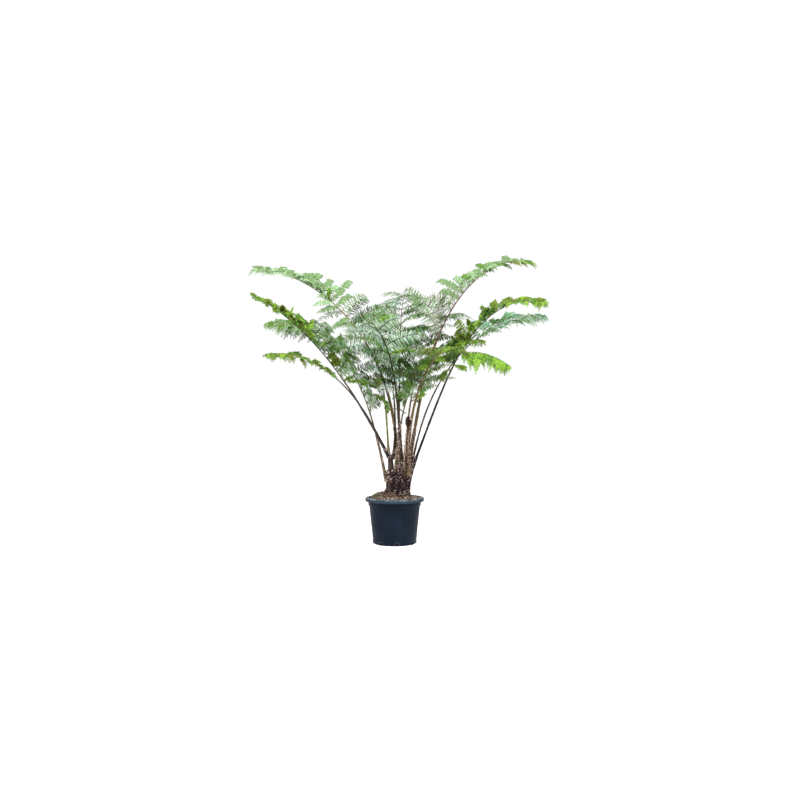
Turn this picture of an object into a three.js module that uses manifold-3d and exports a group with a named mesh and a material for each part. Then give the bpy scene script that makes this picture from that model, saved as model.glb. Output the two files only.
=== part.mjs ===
// A potted tree fern: a short shaggy caudex in a nursery container, with long arching fronds.
// Millimetres, +Z up, origin at the centre of the pot's flat underside; the shown side faces -Y.
import * as THREE from 'three';
import { mergeVertices } from 'three/addons/utils/BufferGeometryUtils.js';
import Module from 'manifold-3d';

const wasm = await Module();
wasm.setup();

// ---- Driving sizes -------------------------------------------------------------------------

const GAP = 0.3;                 // clearance between touching pieces
const CUT = 0.4;                 // how much a piece is grown before it is cut out of another

const POT = {
  height: 350, rimR: 225, rimDrop: 28, rimThick: 4, rimRound: 5, collarR: 202, collarDrop: 58,
  collarStep: 6, wallTopR: 195, footR: 164, footChamfer: 7, wall: 4, floor: 4, sides: 36,
};
const DRAIN = { count: 8, width: 25, height: 18, centreZ: 15, reach: 20, firstDeg: -83.5 };
const SOIL = {
  edgeZ: 338, crownZ: 372, unevenness: 5, sides: 20, clearance: 2,
  mound: { x: -115, y: 95, height: 26, spread: 78 },
};
const CAUDEX = {
  cutZ: 352, topZ: 556, footX: 19, topX: 36, footR: 96, waistR: 86, topR: 100,
  depth: 0.92, domeFrom: 0.88, sides: 14,
};
const STUMP = { x: -26, y: -14, lowZ: 500, topZ: 662, lowR: 26, topR: 18, leanX: -7, sides: 10 };
const OLD_STIPE = {
  base: [78, -84, 505], az: 320, lean: 4, tip: 6, power: 1, sweep: 0, length: 462,
  baseR: 15, endR: 14, knobR: 26, knobLength: 74,
};

const STIPE = { sides: 8, spacing: 160 };
const BLADE = { stations: 7, thick: 7, edge: 4, tipHalf: 24, forward: 0.30, rise: 1.25, droop: 0.75,
  foldLow: 1, foldTip: 0.35, comb: 0.10 };

// One row for each frond. The stem and blade follow one arching line from base, which starts
// at lean degrees from upright and ends at tip degrees, turning slowly at first (power).
// az is where it heads, seen from above, and sweep how far that turns on the way.
// start is where the blade begins along the line, half its greatest half-width, taper how late it
// narrows towards the tip, roll its tilt, and fold how far its sides are raised. A side frond
// grows on another one, at a length along it.
const FRONDS = [
  { name: 'upper_left', base: [18, 22, 520], az: 168, sweep: -6, lean: -1, tip: 84, power: 1.25,
    length: 2255, start: 960, half: 260, taper: 0.95, roll: 0, stemR: 14 },
  { name: 'upper_right', base: [100, 42, 520], az: 12, sweep: 16, lean: 9, tip: 98, power: 2.5,
    length: 2268, start: 1080, half: 540, taper: 0.3, roll: 0, stemR: 14 },
  { name: 'mid_left', base: [-37, -30, 652], az: 192, sweep: 7, lean: 29, tip: 64, power: 1.95,
    length: 1630, start: 720, half: 285, taper: 1.1, roll: 0, stemR: 10 },
  { name: 'mid_right', base: [121, -34, 535], az: 343, sweep: 0, lean: 21, tip: 115, power: 3.8,
    length: 1790, start: 900, half: 240, taper: 1, roll: 0, stemR: 10 },
  { name: 'low_left', base: [-38, -52, 655], az: 202, sweep: 12, lean: 28, tip: 104, power: 1.95,
    length: 1360, start: 760, half: 95, taper: 2.6, roll: 0, stemR: 7 },
  { name: 'low_right', base: [122, 2, 530], az: 14, sweep: 6, lean: 10, tip: 93, power: 1.47,
    length: 1870, start: 940, half: 180, taper: 1.7, roll: 0, stemR: 8 },
  { name: 'far_left', base: [-62, 10, 470], az: 158, sweep: 28, lean: 13, tip: 103, power: 2.45,
    length: 1710, start: 560, half: 220, taper: 2.2, roll: 0, stemR: 9 },
  { name: 'front_left', base: [58, -44, 520], az: 244, sweep: -16, lean: 7, tip: 112, power: 3.6,
    length: 1470, start: 640, half: 280, taper: 2.6, roll: 0, stemR: 14 },
  { name: 'front_right', base: [96, -56, 520], az: 300, sweep: -6, lean: 2, tip: 100, power: 1.5,
    length: 1400, start: 600, half: 240, taper: 3, roll: 0, stemR: 15 },
  { name: 'back_left', base: [-12, 6, 640], az: 118, sweep: -8, lean: -14, tip: 92, power: 1.1,
    length: 1700, start: 640, half: 280, taper: 3, roll: 0, stemR: 8 },
  { name: 'back', base: [34, 62, 520], az: 90, sweep: -6, lean: -3, tip: 94, power: 1.7,
    length: 2020, start: 660, half: 300, taper: 3, roll: 0, stemR: 10 },
  { name: 'back_right', base: [70, 52, 520], az: 52, sweep: 14, lean: 6, tip: 98, power: 1.9,
    length: 1820, start: 700, half: 290, taper: 3, roll: 0, stemR: 9 },
  { name: 'young_centre', base: [-45, 4, 652], az: 140, sweep: -8, lean: 4, tip: 78, power: 2.6,
    length: 1250, start: 520, half: 190, taper: 3, roll: 0, stemR: 8 },
  { name: 'low_centre', base: [14, -34, 525], az: 345, sweep: 0, lean: 3, tip: 104, power: 2.1,
    length: 1400, start: 540, half: 150, taper: 3, roll: 0, stemR: 8 },
  { name: 'young_left', on: 'young_centre', at: 300, az: 200, sweep: 0, lean: -2, tip: 70, power: 1.5,
    length: 220, start: 50, half: 75, taper: 3, roll: 0, stemR: 4 },
  { name: 'young_front', on: 'young_centre', at: 430, az: 196, sweep: 0, lean: 20, tip: 104, power: 1,
    length: 360, start: 50, half: 90, taper: 3, roll: 0, stemR: 4 },
  { name: 'hanging_right', on: 'mid_right', at: 985, az: 330, sweep: 0, lean: 76, tip: 128, power: 0.8,
    length: 440, start: 30, half: 88, taper: 3, roll: 0, stemR: 4, fold: -0.6 },
];

// ---- Solids --------------------------------------------------------------------------------

function toSolid(geometry) {
  const bare = geometry.clone();
  bare.deleteAttribute('normal');
  bare.deleteAttribute('uv');
  const welded = mergeVertices(bare, 1e-4);
  return new wasm.Manifold(new wasm.Mesh({
    numProp: 3,
    vertProperties: new Float32Array(welded.attributes.position.array),
    triVerts: new Uint32Array(welded.index.array),
  }));
}

function toGeometry(solid) {
  const mesh = solid.getMesh();
  const geometry = new THREE.BufferGeometry();
  geometry.setAttribute('position', new THREE.BufferAttribute(mesh.vertProperties, 3));
  geometry.setIndex(new THREE.BufferAttribute(mesh.triVerts, 1));
  geometry.computeVertexNormals();
  return geometry;
}

// Skins rings of points that all have the same even count, and closes both ends across each
// ring, from each point to the one that mirrors it.
function loft(rings) {
  const count = rings[0].length;
  const positions = rings.flat().flatMap((p) => [p.x, p.y, p.z]);
  const index = [];
  for (let r = 0; r + 1 < rings.length; r++) {
    for (let i = 0; i < count; i++) {
      const a = r * count + i;
      const b = r * count + (i + 1) % count;
      index.push(a, b, b + count, a, b + count, a + count);
    }
  }
  const last = (rings.length - 1) * count;
  for (let i = 0; i + 1 < count / 2; i++) {
    const j = count - 1 - i;
    index.push(i, j, j - 1, i, j - 1, i + 1);
    index.push(last + i, last + j - 1, last + j, last + i, last + i + 1, last + j - 1);
  }
  const geometry = new THREE.BufferGeometry();
  geometry.setAttribute('position', new THREE.Float32BufferAttribute(positions, 3));
  geometry.setIndex(index);
  return facingOut(geometry);
}

function facingOut(geometry) {
  const at = geometry.attributes.position;
  const ids = geometry.index.array;
  const [a, b, c] = [new THREE.Vector3(), new THREE.Vector3(), new THREE.Vector3()];
  let volume = 0;
  for (let i = 0; i < ids.length; i += 3) {
    a.fromBufferAttribute(at, ids[i]);
    b.fromBufferAttribute(at, ids[i + 1]);
    c.fromBufferAttribute(at, ids[i + 2]);
    volume += a.dot(b.cross(c));
  }
  if (volume < 0) {
    for (let i = 0; i < ids.length; i += 3) {
      [ids[i + 1], ids[i + 2]] = [ids[i + 2], ids[i + 1]];
    }
  }
  return geometry;
}

function largestPiece(solid) {
  const pieces = solid.decompose();
  return pieces.reduce((best, piece) => (piece.volume() > best.volume() ? piece : best));
}

function touches(a, b) {
  const [p, q] = [a.boundingBox(), b.boundingBox()];
  return [0, 1, 2].every((k) => p.min[k] <= q.max[k] && q.min[k] <= p.max[k]);
}

function cutAll(solid, cutters) {
  const near = cutters.filter((cutter) => touches(solid, cutter));
  return near.length ? largestPiece(near.reduce((rest, cutter) => rest.subtract(cutter), solid)) : solid;
}

// ---- Lines of growth -----------------------------------------------------------------------

// Where an arching line has got to after a length s, and which way it heads there.
function along(line, s) {
  const steps = 40;
  const point = new THREE.Vector3(...line.base);
  const heading = new THREE.Vector3();
  const aim = (distance) => {
    const t = Math.max(distance, 0) / line.length;
    const fromUpright = THREE.MathUtils.degToRad(line.lean + (line.tip - line.lean) * t ** line.power);
    const azimuth = THREE.MathUtils.degToRad(line.az + line.sweep * t);
    return heading.set(
      Math.sin(fromUpright) * Math.cos(azimuth),
      Math.sin(fromUpright) * Math.sin(azimuth),
      Math.cos(fromUpright),
    );
  };
  for (let i = 0; i < steps; i++) {
    point.addScaledVector(aim((i + 0.5) / steps * s), s / steps);
  }
  return { point, ahead: aim(s).clone() };
}

// Side and up directions of a frond at a place on its line, turned by its roll.
function crossAxes(line, ahead, s) {
  const azimuth = THREE.MathUtils.degToRad(line.az + line.sweep * s / line.length);
  const side = new THREE.Vector3(Math.sin(azimuth), -Math.cos(azimuth), 0);
  side.applyAxisAngle(ahead, THREE.MathUtils.degToRad(line.roll ?? 0));
  const up = new THREE.Vector3().crossVectors(side, ahead).normalize();
  return { side, up };
}

function tubeRing(line, s, radius, sides) {
  const { point, ahead } = along(line, s);
  const { side, up } = crossAxes(line, ahead, s);
  return Array.from({ length: sides }, (_, i) => {
    const turn = (i + 0.5) / sides * 2 * Math.PI;
    return point.clone()
      .addScaledVector(side, radius * Math.cos(turn))
      .addScaledVector(up, radius * Math.sin(turn));
  });
}

// ---- Pot and soil --------------------------------------------------------------------------

const COLLAR_Z = POT.height - POT.collarDrop;

function wallRadius(z) {
  return POT.footR + (POT.wallTopR - POT.footR) * z / COLLAR_Z;
}

// A thin-walled container: rolled rim turned down outside, a collar under it, a tapering wall.
function potSolid() {
  const rimInnerR = POT.rimR - POT.rimThick;
  const rimUnderZ = POT.height - POT.rimThick - POT.rimRound;
  const profile = [
    [0, 0],
    [POT.footR - POT.footChamfer, 0],
    [POT.footR, POT.footChamfer],
    [POT.wallTopR, COLLAR_Z - POT.collarStep],
    [POT.collarR, COLLAR_Z],
    [POT.collarR, rimUnderZ],
    [rimInnerR, rimUnderZ],
    [rimInnerR, POT.height - POT.rimDrop],
    [POT.rimR, POT.height - POT.rimDrop],
    [POT.rimR, POT.height - POT.rimRound],
    [POT.rimR - POT.rimRound, POT.height],
    [POT.collarR, POT.height],
    [POT.collarR - POT.wall, POT.height - POT.rimRound],
    [POT.collarR - POT.wall, COLLAR_Z + POT.wall / 2],
    [POT.wallTopR - POT.wall, COLLAR_Z - POT.wall],
    [wallRadius(POT.floor) - POT.wall, POT.floor],
    [0, POT.floor],
  ].map(([r, z]) => new THREE.Vector2(r, z));
  const lathe = new THREE.LatheGeometry(profile, POT.sides).rotateX(Math.PI / 2);
  return drainHoles().reduce((pot, hole) => pot.subtract(hole), toSolid(facingOut(lathe)));
}

// Windows through the foot of the wall, just above the floor.
function drainHoles() {
  return Array.from({ length: DRAIN.count }, (_, i) => {
    const box = new THREE.BoxGeometry(2 * DRAIN.reach, DRAIN.width, DRAIN.height);
    box.translate(POT.footR, 0, DRAIN.centreZ);
    box.rotateZ(THREE.MathUtils.degToRad(DRAIN.firstDeg + i * 360 / DRAIN.count));
    return toSolid(box);
  });
}

// Height of the potting mix: highest round the caudex, with a mossy mound at the back left.
function soilHeight(x, y) {
  const inward = 1 - Math.hypot(x, y) ** 2 / POT.wallTopR ** 2;
  const { mound } = SOIL;
  const heap = mound.height * Math.exp(-(((x - mound.x) ** 2 + (y - mound.y) ** 2) / mound.spread ** 2));
  const lumps = SOIL.unevenness * (Math.sin(x / 23) * Math.cos(y / 31) + Math.sin((x + y) / 17) / 2);
  const nearWall = 1 - (1 - inward) ** 4;
  return SOIL.edgeZ + (SOIL.crownZ - SOIL.edgeZ) * inward + (heap + lumps) * nearWall;
}

function soilSolid() {
  const clear = POT.wall + GAP + SOIL.clearance;
  const circle = (radius, height) => Array.from({ length: SOIL.sides }, (_, i) => {
    const turn = i / SOIL.sides * 2 * Math.PI;
    const [x, y] = [radius * Math.cos(turn), radius * Math.sin(turn)];
    return new THREE.Vector3(x, y, height ?? soilHeight(x, y));
  });
  const surface = [0.9, 0.72, 0.5, 0.25, 0.08].map((share) => circle(share * (POT.collarR - clear)));
  return toSolid(loft([
    circle(wallRadius(POT.floor) - clear, POT.floor + GAP),
    circle(POT.wallTopR - clear, COLLAR_Z - POT.collarStep),
    circle(POT.collarR - clear, COLLAR_Z + POT.collarStep),
    circle(POT.collarR - clear, SOIL.edgeZ),
    ...surface,
  ]));
}

// ---- Caudex, stump and cut stipe -----------------------------------------------------------

// The short trunk: flat cut in the soil, flared foot, waist, and a wider crown of old frond bases.
function caudexSolid(grow = 0) {
  const levels = 9;
  const rings = Array.from({ length: levels + 1 }, (_, k) => {
    const t = k / levels;
    const foot = (CAUDEX.footR - CAUDEX.waistR) * Math.max(0, 1 - 3 * t) ** 2;
    const crown = (CAUDEX.topR - CAUDEX.waistR) * THREE.MathUtils.smoothstep(t, 0.3, 0.85);
    const dome = 1 - 0.55 * THREE.MathUtils.smoothstep(t, 0.8, 1) ** 2;
    const rise = Math.min(t / CAUDEX.domeFrom, 1 + (t - CAUDEX.domeFrom) / 3);
    const centreX = CAUDEX.footX + (CAUDEX.topX - CAUDEX.footX) * t;
    const z = CAUDEX.cutZ + (CAUDEX.topZ - CAUDEX.cutZ) * rise + (k === 0 ? -grow : grow);
    return Array.from({ length: CAUDEX.sides }, (_, i) => {
      const turn = i / CAUDEX.sides * 2 * Math.PI;
      const lobes = 1 + 0.05 * Math.sin(5 * turn + 2 * t) + 0.03 * Math.sin(3 * turn + 1);
      const radius = (CAUDEX.waistR + foot + crown) * dome * lobes + grow;
      return new THREE.Vector3(centreX + radius * Math.cos(turn), CAUDEX.depth * radius * Math.sin(turn), z);
    });
  });
  return toSolid(loft(rings));
}

// A bundle of fused stem bases standing on the caudex at the left.
function stumpSolid(grow = 0) {
  const levels = 5;
  const rings = Array.from({ length: levels + 1 }, (_, k) => {
    const t = k / levels;
    const radius = STUMP.lowR + (STUMP.topR - STUMP.lowR) * t + grow - (k === levels ? 4 : 0);
    return Array.from({ length: STUMP.sides }, (_, i) => {
      const turn = i / STUMP.sides * 2 * Math.PI;
      const flutes = 1 + 0.09 * Math.sin(4 * turn + 1);
      return new THREE.Vector3(
        STUMP.x + STUMP.leanX * t + radius * flutes * Math.cos(turn),
        STUMP.y + 1.15 * radius * flutes * Math.sin(turn),
        STUMP.lowZ + (STUMP.topZ - STUMP.lowZ) * t + (k === levels ? grow : 0),
      );
    });
  });
  return toSolid(loft(rings));
}

// An old stipe cut off short, with a swollen, fibrous end.
function cutStipeSolid(grow = 0) {
  const shaftEnd = OLD_STIPE.length - OLD_STIPE.knobLength;
  const sections = [
    [0, OLD_STIPE.baseR], [0.4 * shaftEnd, OLD_STIPE.baseR], [shaftEnd, OLD_STIPE.endR],
    [shaftEnd + 0.25 * OLD_STIPE.knobLength, 0.85 * OLD_STIPE.knobR],
    [shaftEnd + 0.6 * OLD_STIPE.knobLength, OLD_STIPE.knobR],
    [shaftEnd + 0.9 * OLD_STIPE.knobLength, 0.8 * OLD_STIPE.knobR],
    [OLD_STIPE.length, 0.45 * OLD_STIPE.knobR],
  ];
  return toSolid(loft(sections.map(([s, r]) => tubeRing(OLD_STIPE, s, r + grow, STIPE.sides))));
}

// ---- Stems and blades ----------------------------------------------------------------------

// A frond's bare stem: one tapering limb from the caudex to where the blade begins.
function stemSolid(frond, grow = 0) {
  const count = Math.max(4, Math.round(frond.start / STIPE.spacing));
  const rings = Array.from({ length: count + 1 }, (_, k) => {
    const s = k / count * (frond.start - GAP) + (k === count ? grow : 0);
    const swell = 1 + 0.35 * Math.exp(-s / 90);
    const radius = frond.stemR * (1 - 0.5 * s / frond.start) * swell;
    return tubeRing(frond, s, radius + grow, STIPE.sides);
  });
  return toSolid(loft(rings));
}

// Half the blade's width at a share t of its length: quickly out, widest low down, then a long taper.
function bladeHalf(frond, t) {
  const opening = Math.min(1, (t + 0.03) / 0.15) ** 0.6;
  const tip = Math.min(BLADE.tipHalf, 0.4 * frond.half);
  return tip + (frond.half - tip) * opening * (1 - t ** frond.taper);
}

// One station of the blade: a shallow arch across, raised beside the stem and drooping at its edges.
function bladeRing(frond, t, s, comb, grow) {
  const { point, ahead } = along(frond, s);
  const { side, up } = crossAxes(frond, ahead, s);
  const half = bladeHalf(frond, t) * comb + grow;
  const fold = (frond.fold ?? 1) * (BLADE.foldLow + (BLADE.foldTip - BLADE.foldLow) * t);
  const across = [-1, -0.5, 0, 0.5, 1];
  const place = (u, face) => {
    const out = Math.abs(u);
    const thick = BLADE.thick + (BLADE.edge - BLADE.thick) * out + 2 * grow;
    const lift = half * fold * (BLADE.rise * out - BLADE.droop * out ** 2);
    return point.clone()
      .addScaledVector(side, half * u)
      .addScaledVector(up, lift + face * thick / 2)
      .addScaledVector(ahead, BLADE.forward * half * out * (1 - t));
  };
  return [...across.map((u) => place(u, 1)), ...across.toReversed().map((u) => place(u, -1))];
}

// Part of a blade, from share t0 to share t1 of its length.
function bladeSolid(frond, t0, t1, grow = 0) {
  const bladeLength = frond.length - frond.start;
  const count = Math.max(3, Math.round(BLADE.stations * (t1 - t0)));
  const rings = Array.from({ length: count + 1 }, (_, k) => {
    const t = t0 + (t1 - t0) * k / count;
    const ends = k === 0 ? (t0 > 0 ? GAP : 0) - grow : (k === count ? grow : 0);
    const comb = k > 0 && k < count && k % 2 ? 1 - BLADE.comb : 1;
    return bladeRing(frond, t, frond.start + t * bladeLength + ends, comb, grow);
  });
  return toSolid(loft(rings));
}

// ---- Materials -----------------------------------------------------------------------------

const paint = (color, roughness) => new THREE.MeshStandardMaterial({ color, roughness, metalness: 0 });
const LOOK = {
  pot: () => paint(0x222c38, 0.5),
  soil: () => paint(0x6b5a48, 0.95),
  caudex: () => paint(0x3a2a28, 0.95),
  stem: () => paint(0x5a4a30, 0.6),
  frond: () => paint(0x5f9148, 0.6),
};

// ---- Assembly ------------------------------------------------------------------------------

for (const frond of FRONDS.filter((one) => one.on)) {
  frond.base = along(FRONDS.find((one) => one.name === frond.on), frond.at).point.toArray();
}

const fern = new THREE.Group();

function addPart(name, solid, look) {
  const mesh = new THREE.Mesh(toGeometry(solid), LOOK[look]());
  mesh.name = name;
  fern.add(mesh);
}

const caudexCutter = caudexSolid(CUT);
const stumpCutter = stumpSolid(CUT);
const placed = [caudexCutter, stumpCutter];

addPart('pot', potSolid(), 'pot');
addPart('soil', soilSolid().subtract(caudexCutter), 'soil');
addPart('caudex', caudexSolid(), 'caudex');
addPart('left_stump', cutAll(stumpSolid(), [caudexCutter]), 'caudex');
addPart('cut_stipe', cutAll(cutStipeSolid(), placed), 'stem');
placed.push(cutStipeSolid(CUT));

for (const frond of FRONDS) {
  addPart(`stem_${frond.name}`, cutAll(stemSolid(frond), placed), 'stem');
  placed.push(stemSolid(frond, CUT));
}

// A long blade is made in two parts, which meet at its bend.
for (const frond of FRONDS) {
  const others = placed.slice();
  const long = frond.length - frond.start > 500;
  const parts = long ? [['inner', 0, 0.5], ['outer', 0.5, 1]] : [['whole', 0, 1]];
  for (const [part, t0, t1] of parts) {
    addPart(`blade_${frond.name}_${part}`, cutAll(bladeSolid(frond, t0, t1), others), 'frond');
    placed.push(bladeSolid(frond, t0, t1, CUT));
  }
}

export default fern;
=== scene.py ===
# %% [markdown]
# # A potted tree fern
# A tree fern carries a crown of long arching fronds on a short shaggy trunk, the caudex. This one
# is young: its trunk stands 20 centimetres out of its pot, and its fronds are two metres long.
# The frame gives the simple solids of the plant, which say where everything stands. In this
# lesson each of them gets the skin, leaflets and finish of the real thing. Chance shapes a plant,
# so every random draw here comes from a seeded source, and the plant grows the same each time.

# %% Load the frame and measure it
import math

import bpy
import numpy as np
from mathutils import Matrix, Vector, noise


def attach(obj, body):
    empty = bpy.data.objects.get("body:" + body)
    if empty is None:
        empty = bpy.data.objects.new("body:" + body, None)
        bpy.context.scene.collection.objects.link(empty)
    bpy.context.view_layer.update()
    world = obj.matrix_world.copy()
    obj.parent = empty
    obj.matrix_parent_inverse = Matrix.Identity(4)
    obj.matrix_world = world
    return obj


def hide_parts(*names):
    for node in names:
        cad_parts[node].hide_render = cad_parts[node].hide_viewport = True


SEED = 11
noise.seed_set(SEED)
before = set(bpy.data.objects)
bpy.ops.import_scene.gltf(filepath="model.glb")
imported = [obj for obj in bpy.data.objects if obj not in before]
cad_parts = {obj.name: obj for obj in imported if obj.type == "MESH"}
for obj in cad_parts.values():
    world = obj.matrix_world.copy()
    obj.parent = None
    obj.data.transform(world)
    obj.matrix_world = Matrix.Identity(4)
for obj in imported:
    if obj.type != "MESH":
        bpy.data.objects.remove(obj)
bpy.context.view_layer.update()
print("solids:", len(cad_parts))

# %% [markdown]
# ## Small helpers
# An operator acts on whatever is selected, and the solids are all selected after loading. So the
# first helper clears the selection and picks one object, as a click in the viewport would.
# Another one ends every piece in the same way: its place goes into its mesh, it rides on the
# plant's body, and stands in for the solids that it replaces. The rest apply modifiers, give
# materials, set the shading and count triangles.

# %% Selecting, finishing and shading a piece
def pick(piece):
    """Select one object and nothing else."""
    bpy.ops.object.select_all(action="DESELECT")
    piece.select_set(True)
    bpy.context.view_layer.objects.active = piece
    return piece


def settle(piece, stands_for=()):
    """Put the place into the mesh, and hang the piece on the plant's body."""
    pick(piece)
    bpy.ops.object.transform_apply(location=True, rotation=True, scale=True)
    piece.data.name = piece.name
    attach(piece, "root")
    if stands_for:
        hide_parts(*stands_for)
    return piece


def apply_all(piece):
    """Apply every modifier, from the first to the last."""
    pick(piece)
    for modifier in list(piece.modifiers):
        bpy.ops.object.modifier_apply(modifier=modifier.name)
    return piece


def smooth(piece, degrees):
    """Shade a piece smooth, apart from edges sharper than this."""
    pick(piece)
    bpy.ops.object.shade_smooth_by_angle(angle=math.radians(degrees))
    return piece


def paint(piece, *materials):
    """Give a piece these materials and no others."""
    piece.data.materials.clear()
    for material in materials:
        piece.data.materials.append(material)
    return piece


def triangles(piece):
    piece.data.calc_loop_triangles()
    return len(piece.data.loop_triangles)


bpy.ops.object.select_all(action="DESELECT")
print("helpers ready, nothing selected:", len(bpy.context.selected_objects) == 0)

# %% [markdown]
# ## The lines that the fronds grow along
# A frond leaves the caudex nearly upright and then leans over more and more, so one line with a
# growing lean describes its stem and its rib. The table holds one line for each frond, with the
# same numbers as the solids: where it starts (base), where it heads seen from above (az), how far
# that turns on the way (sweep), its lean at both ends (lean, tip), how late it bends (power), its
# length, and where the blade begins along it (start). Then comes the blade: its widest half
# (half), how far its sides are folded up at its foot (fold) and at its tip (lift), how far it is
# turned about the rib (roll), how long it keeps its width (taper) and how far apart its pinnae
# stand (step). Then the thickness of the stem, and its skin. The last two words choose the looks
# of the inner and the outer part of the blade. Sizes are in millimetres, angles in degrees.

# %% The table of fronds
MM = 0.001

FROND_FIELDS = ("name", "base", "az", "sweep", "lean", "tip", "power", "length", "start", "half",
                "fold", "lift", "roll", "taper", "step", "stem", "skin", "inner", "outer")
FROND_ROWS = [
    ("upper_left", (18, 22, 520), 168, -6, -1, 84, 1.25, 2255, 960, 260, 1.8, 0.2, 0.7, 0.95, 76, 14,
     "olive brown", "sagey", "minty"),
    ("upper_right", (100, 42, 520), 12, 16, 9, 98, 2.5, 2268, 1080, 540, 1.5, 0.1, 0.9, 0.3, 80, 14,
     "spotted brown", "grey", "crest"),
    ("mid_left", (-37, -30, 652), 192, 7, 29, 64, 1.95, 1630, 720, 285, 1.5, 0.3, 0.8, 1.1, 58, 10,
     "red brown", "green", "leafy"),
    ("mid_right", (121, -34, 535), 343, 0, 21, 115, 3.8, 1790, 900, 240, 1.3, 0.2, 0.9, 1.0, 64, 10,
     "black", "mixed", "leafy"),
    ("low_left", (-38, -52, 655), 202, 12, 28, 104, 1.95, 1360, 760, 95, 0.5, -0.3, 0.7, 2.6, 62, 7,
     "black", "olive", "olive"),
    ("low_right", (122, 2, 530), 14, 6, 10, 93, 1.47, 1870, 940, 180, 0.7, 0.1, 0.9, 1.7, 56, 8,
     "dark purple", "green", "teal"),
    ("far_left", (-62, 10, 470), 158, 28, 13, 103, 2.45, 1710, 560, 220, 0.8, 0.0, 1.0, 2.2, 68, 9,
     "olive brown", "green", "dusky"),
    ("front_left", (58, -44, 520), 244, -16, 7, 112, 3.6, 1470, 640, 280, 0.9, -0.3, 0.0, 2.6, 106, 14,
     "dark brown", "fine silvery", "fine silvery"),
    ("front_right", (96, -56, 520), 300, -6, 2, 100, 1.5, 1400, 600, 240, 0.8, -0.4, 0.0, 3.5, 80, 15,
     "spotted brown", "shady", "mixed"),
    ("back_left", (-12, 6, 640), 118, -8, -14, 92, 1.1, 1700, 640, 280, 0.9, -0.2, 0.0, 3.0, 118, 8,
     "dark brown", "green", "silvery"),
    ("back", (34, 62, 520), 90, -6, -3, 94, 1.7, 2020, 660, 300, 0.9, -0.3, 0.0, 3.0, 132, 10,
     "dark brown", "shady", "silvery"),
    ("back_right", (70, 52, 520), 52, 14, 6, 98, 1.9, 1820, 700, 290, 0.9, -0.2, 0.0, 3.0, 132, 9,
     "olive brown", "shady", "silvery"),
    ("young_centre", (-45, 4, 652), 140, -8, 4, 78, 2.6, 1250, 520, 190, 0.8, 0.0, 0.0, 3.0, 80, 8,
     "olive green", "fine silvery", "fine silvery"),
    ("low_centre", (14, -34, 525), 345, 0, 3, 104, 2.1, 1400, 540, 150, 0.7, -0.2, 0.2, 3.0, 70, 8,
     "olive brown", "shady", "mixed"),
    ("young_left", (0, 0, 0), 200, 0, -2, 70, 1.5, 220, 50, 75, 0.6, 0.0, 0.0, 3.0, 36, 4,
     "olive green", "leafy", "leafy"),
    ("young_front", (0, 0, 0), 196, 0, 20, 104, 1.0, 360, 50, 90, 0.6, 0.0, 0.0, 3.0, 50, 4,
     "olive green", "green", "leafy"),
    ("hanging_right", (0, 0, 0), 330, 0, 76, 128, 0.8, 440, 30, 88, -0.9, -0.9, 0.0, 3.0, 60, 4,
     "olive green", "lime", "lime"),
]
print(len(FROND_ROWS), "fronds")

# %% [markdown]
# Three of the fronds spring from another one. So do sixteen sprigs, single small sprays that
# stand out from the crowd by their colour or by the way they hang. A sprig is a frond like the
# others, but most of its numbers are the same each time, so its row is short. It says on which
# frond the sprig sits (on) and how far along it (at). Its fold is the same from foot to tip.

# %% Sprigs and side fronds
SPRIG_FIELDS = ("name", "on", "at", "az", "lean", "tip", "length", "half", "fold", "skin", "look")
SPRIG_ROWS = [
    ("sprig_bright", "low_centre", 610, 20, -4, 30, 150, 44, 0.2, "olive green", "lush"),
    ("sprig_dark", "low_centre", 590, 200, 20, 150, 120, 50, 0.2, "olive green", "shady"),
    ("sprig_wilted", "upper_right", 800, 215, 30, 165, 120, 40, -0.6, "olive brown", "wilted"),
    ("sprig_thin", "front_right", 690, 350, 62, 40, 165, 52, 0.3, "olive brown", "grey"),
    ("sprig_curled", "back_right", 560, 10, 20, 170, 90, 26, 0.2, "olive brown", "olive"),
    ("sprig_right", "mid_right", 880, 330, 70, 120, 120, 42, -0.4, "olive green", "lush"),
    ("sprig_under", "mid_right", 850, 205, 80, 165, 150, 54, -0.2, "olive green", "mixed"),
    ("sprig_middle", "front_left", 930, 350, 62, 98, 210, 50, 0.1, "olive green", "lush"),
    ("sprig_tip", "front_left", 1210, 20, 40, 84, 190, 50, 0.1, "olive green", "lush"),
    ("sprig_above", "mid_right", 1170, 190, 40, 10, 120, 56, 0.1, "olive green", "lush"),
    ("sprig_beside", "mid_right", 1330, 190, 50, 10, 110, 50, 0.1, "olive green", "lush"),
    ("sprig_left", "mid_left", 1130, 10, 10, 40, 130, 56, 0.1, "olive green", "lush"),
    ("sprig_inner", "mid_left", 990, 10, 30, 80, 130, 50, 0.1, "olive green", "lush"),
    ("sprig_outer", "mid_left", 1290, 20, 0, 30, 110, 44, 0.1, "olive green", "lush"),
    ("sprig_low", "far_left", 850, 215, 70, 140, 100, 44, -0.3, "olive green", "lush"),
    ("sprig_high", "upper_left", 1500, 20, -30, 20, 120, 50, 0.2, "olive green", "lush"),
]
EVERY_SPRIG = {"base": (0, 0, 0), "sweep": 0, "power": 0.9, "start": 24, "roll": 0.0, "taper": 3.0,
               "step": 30, "stem": 3}
SIDE_FRONDS = {"young_left": ("young_centre", 300), "young_front": ("young_centre", 430),
               "hanging_right": ("mid_right", 985)}
FRONDS = {row[0]: dict(zip(FROND_FIELDS, row)) for row in FROND_ROWS}
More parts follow.
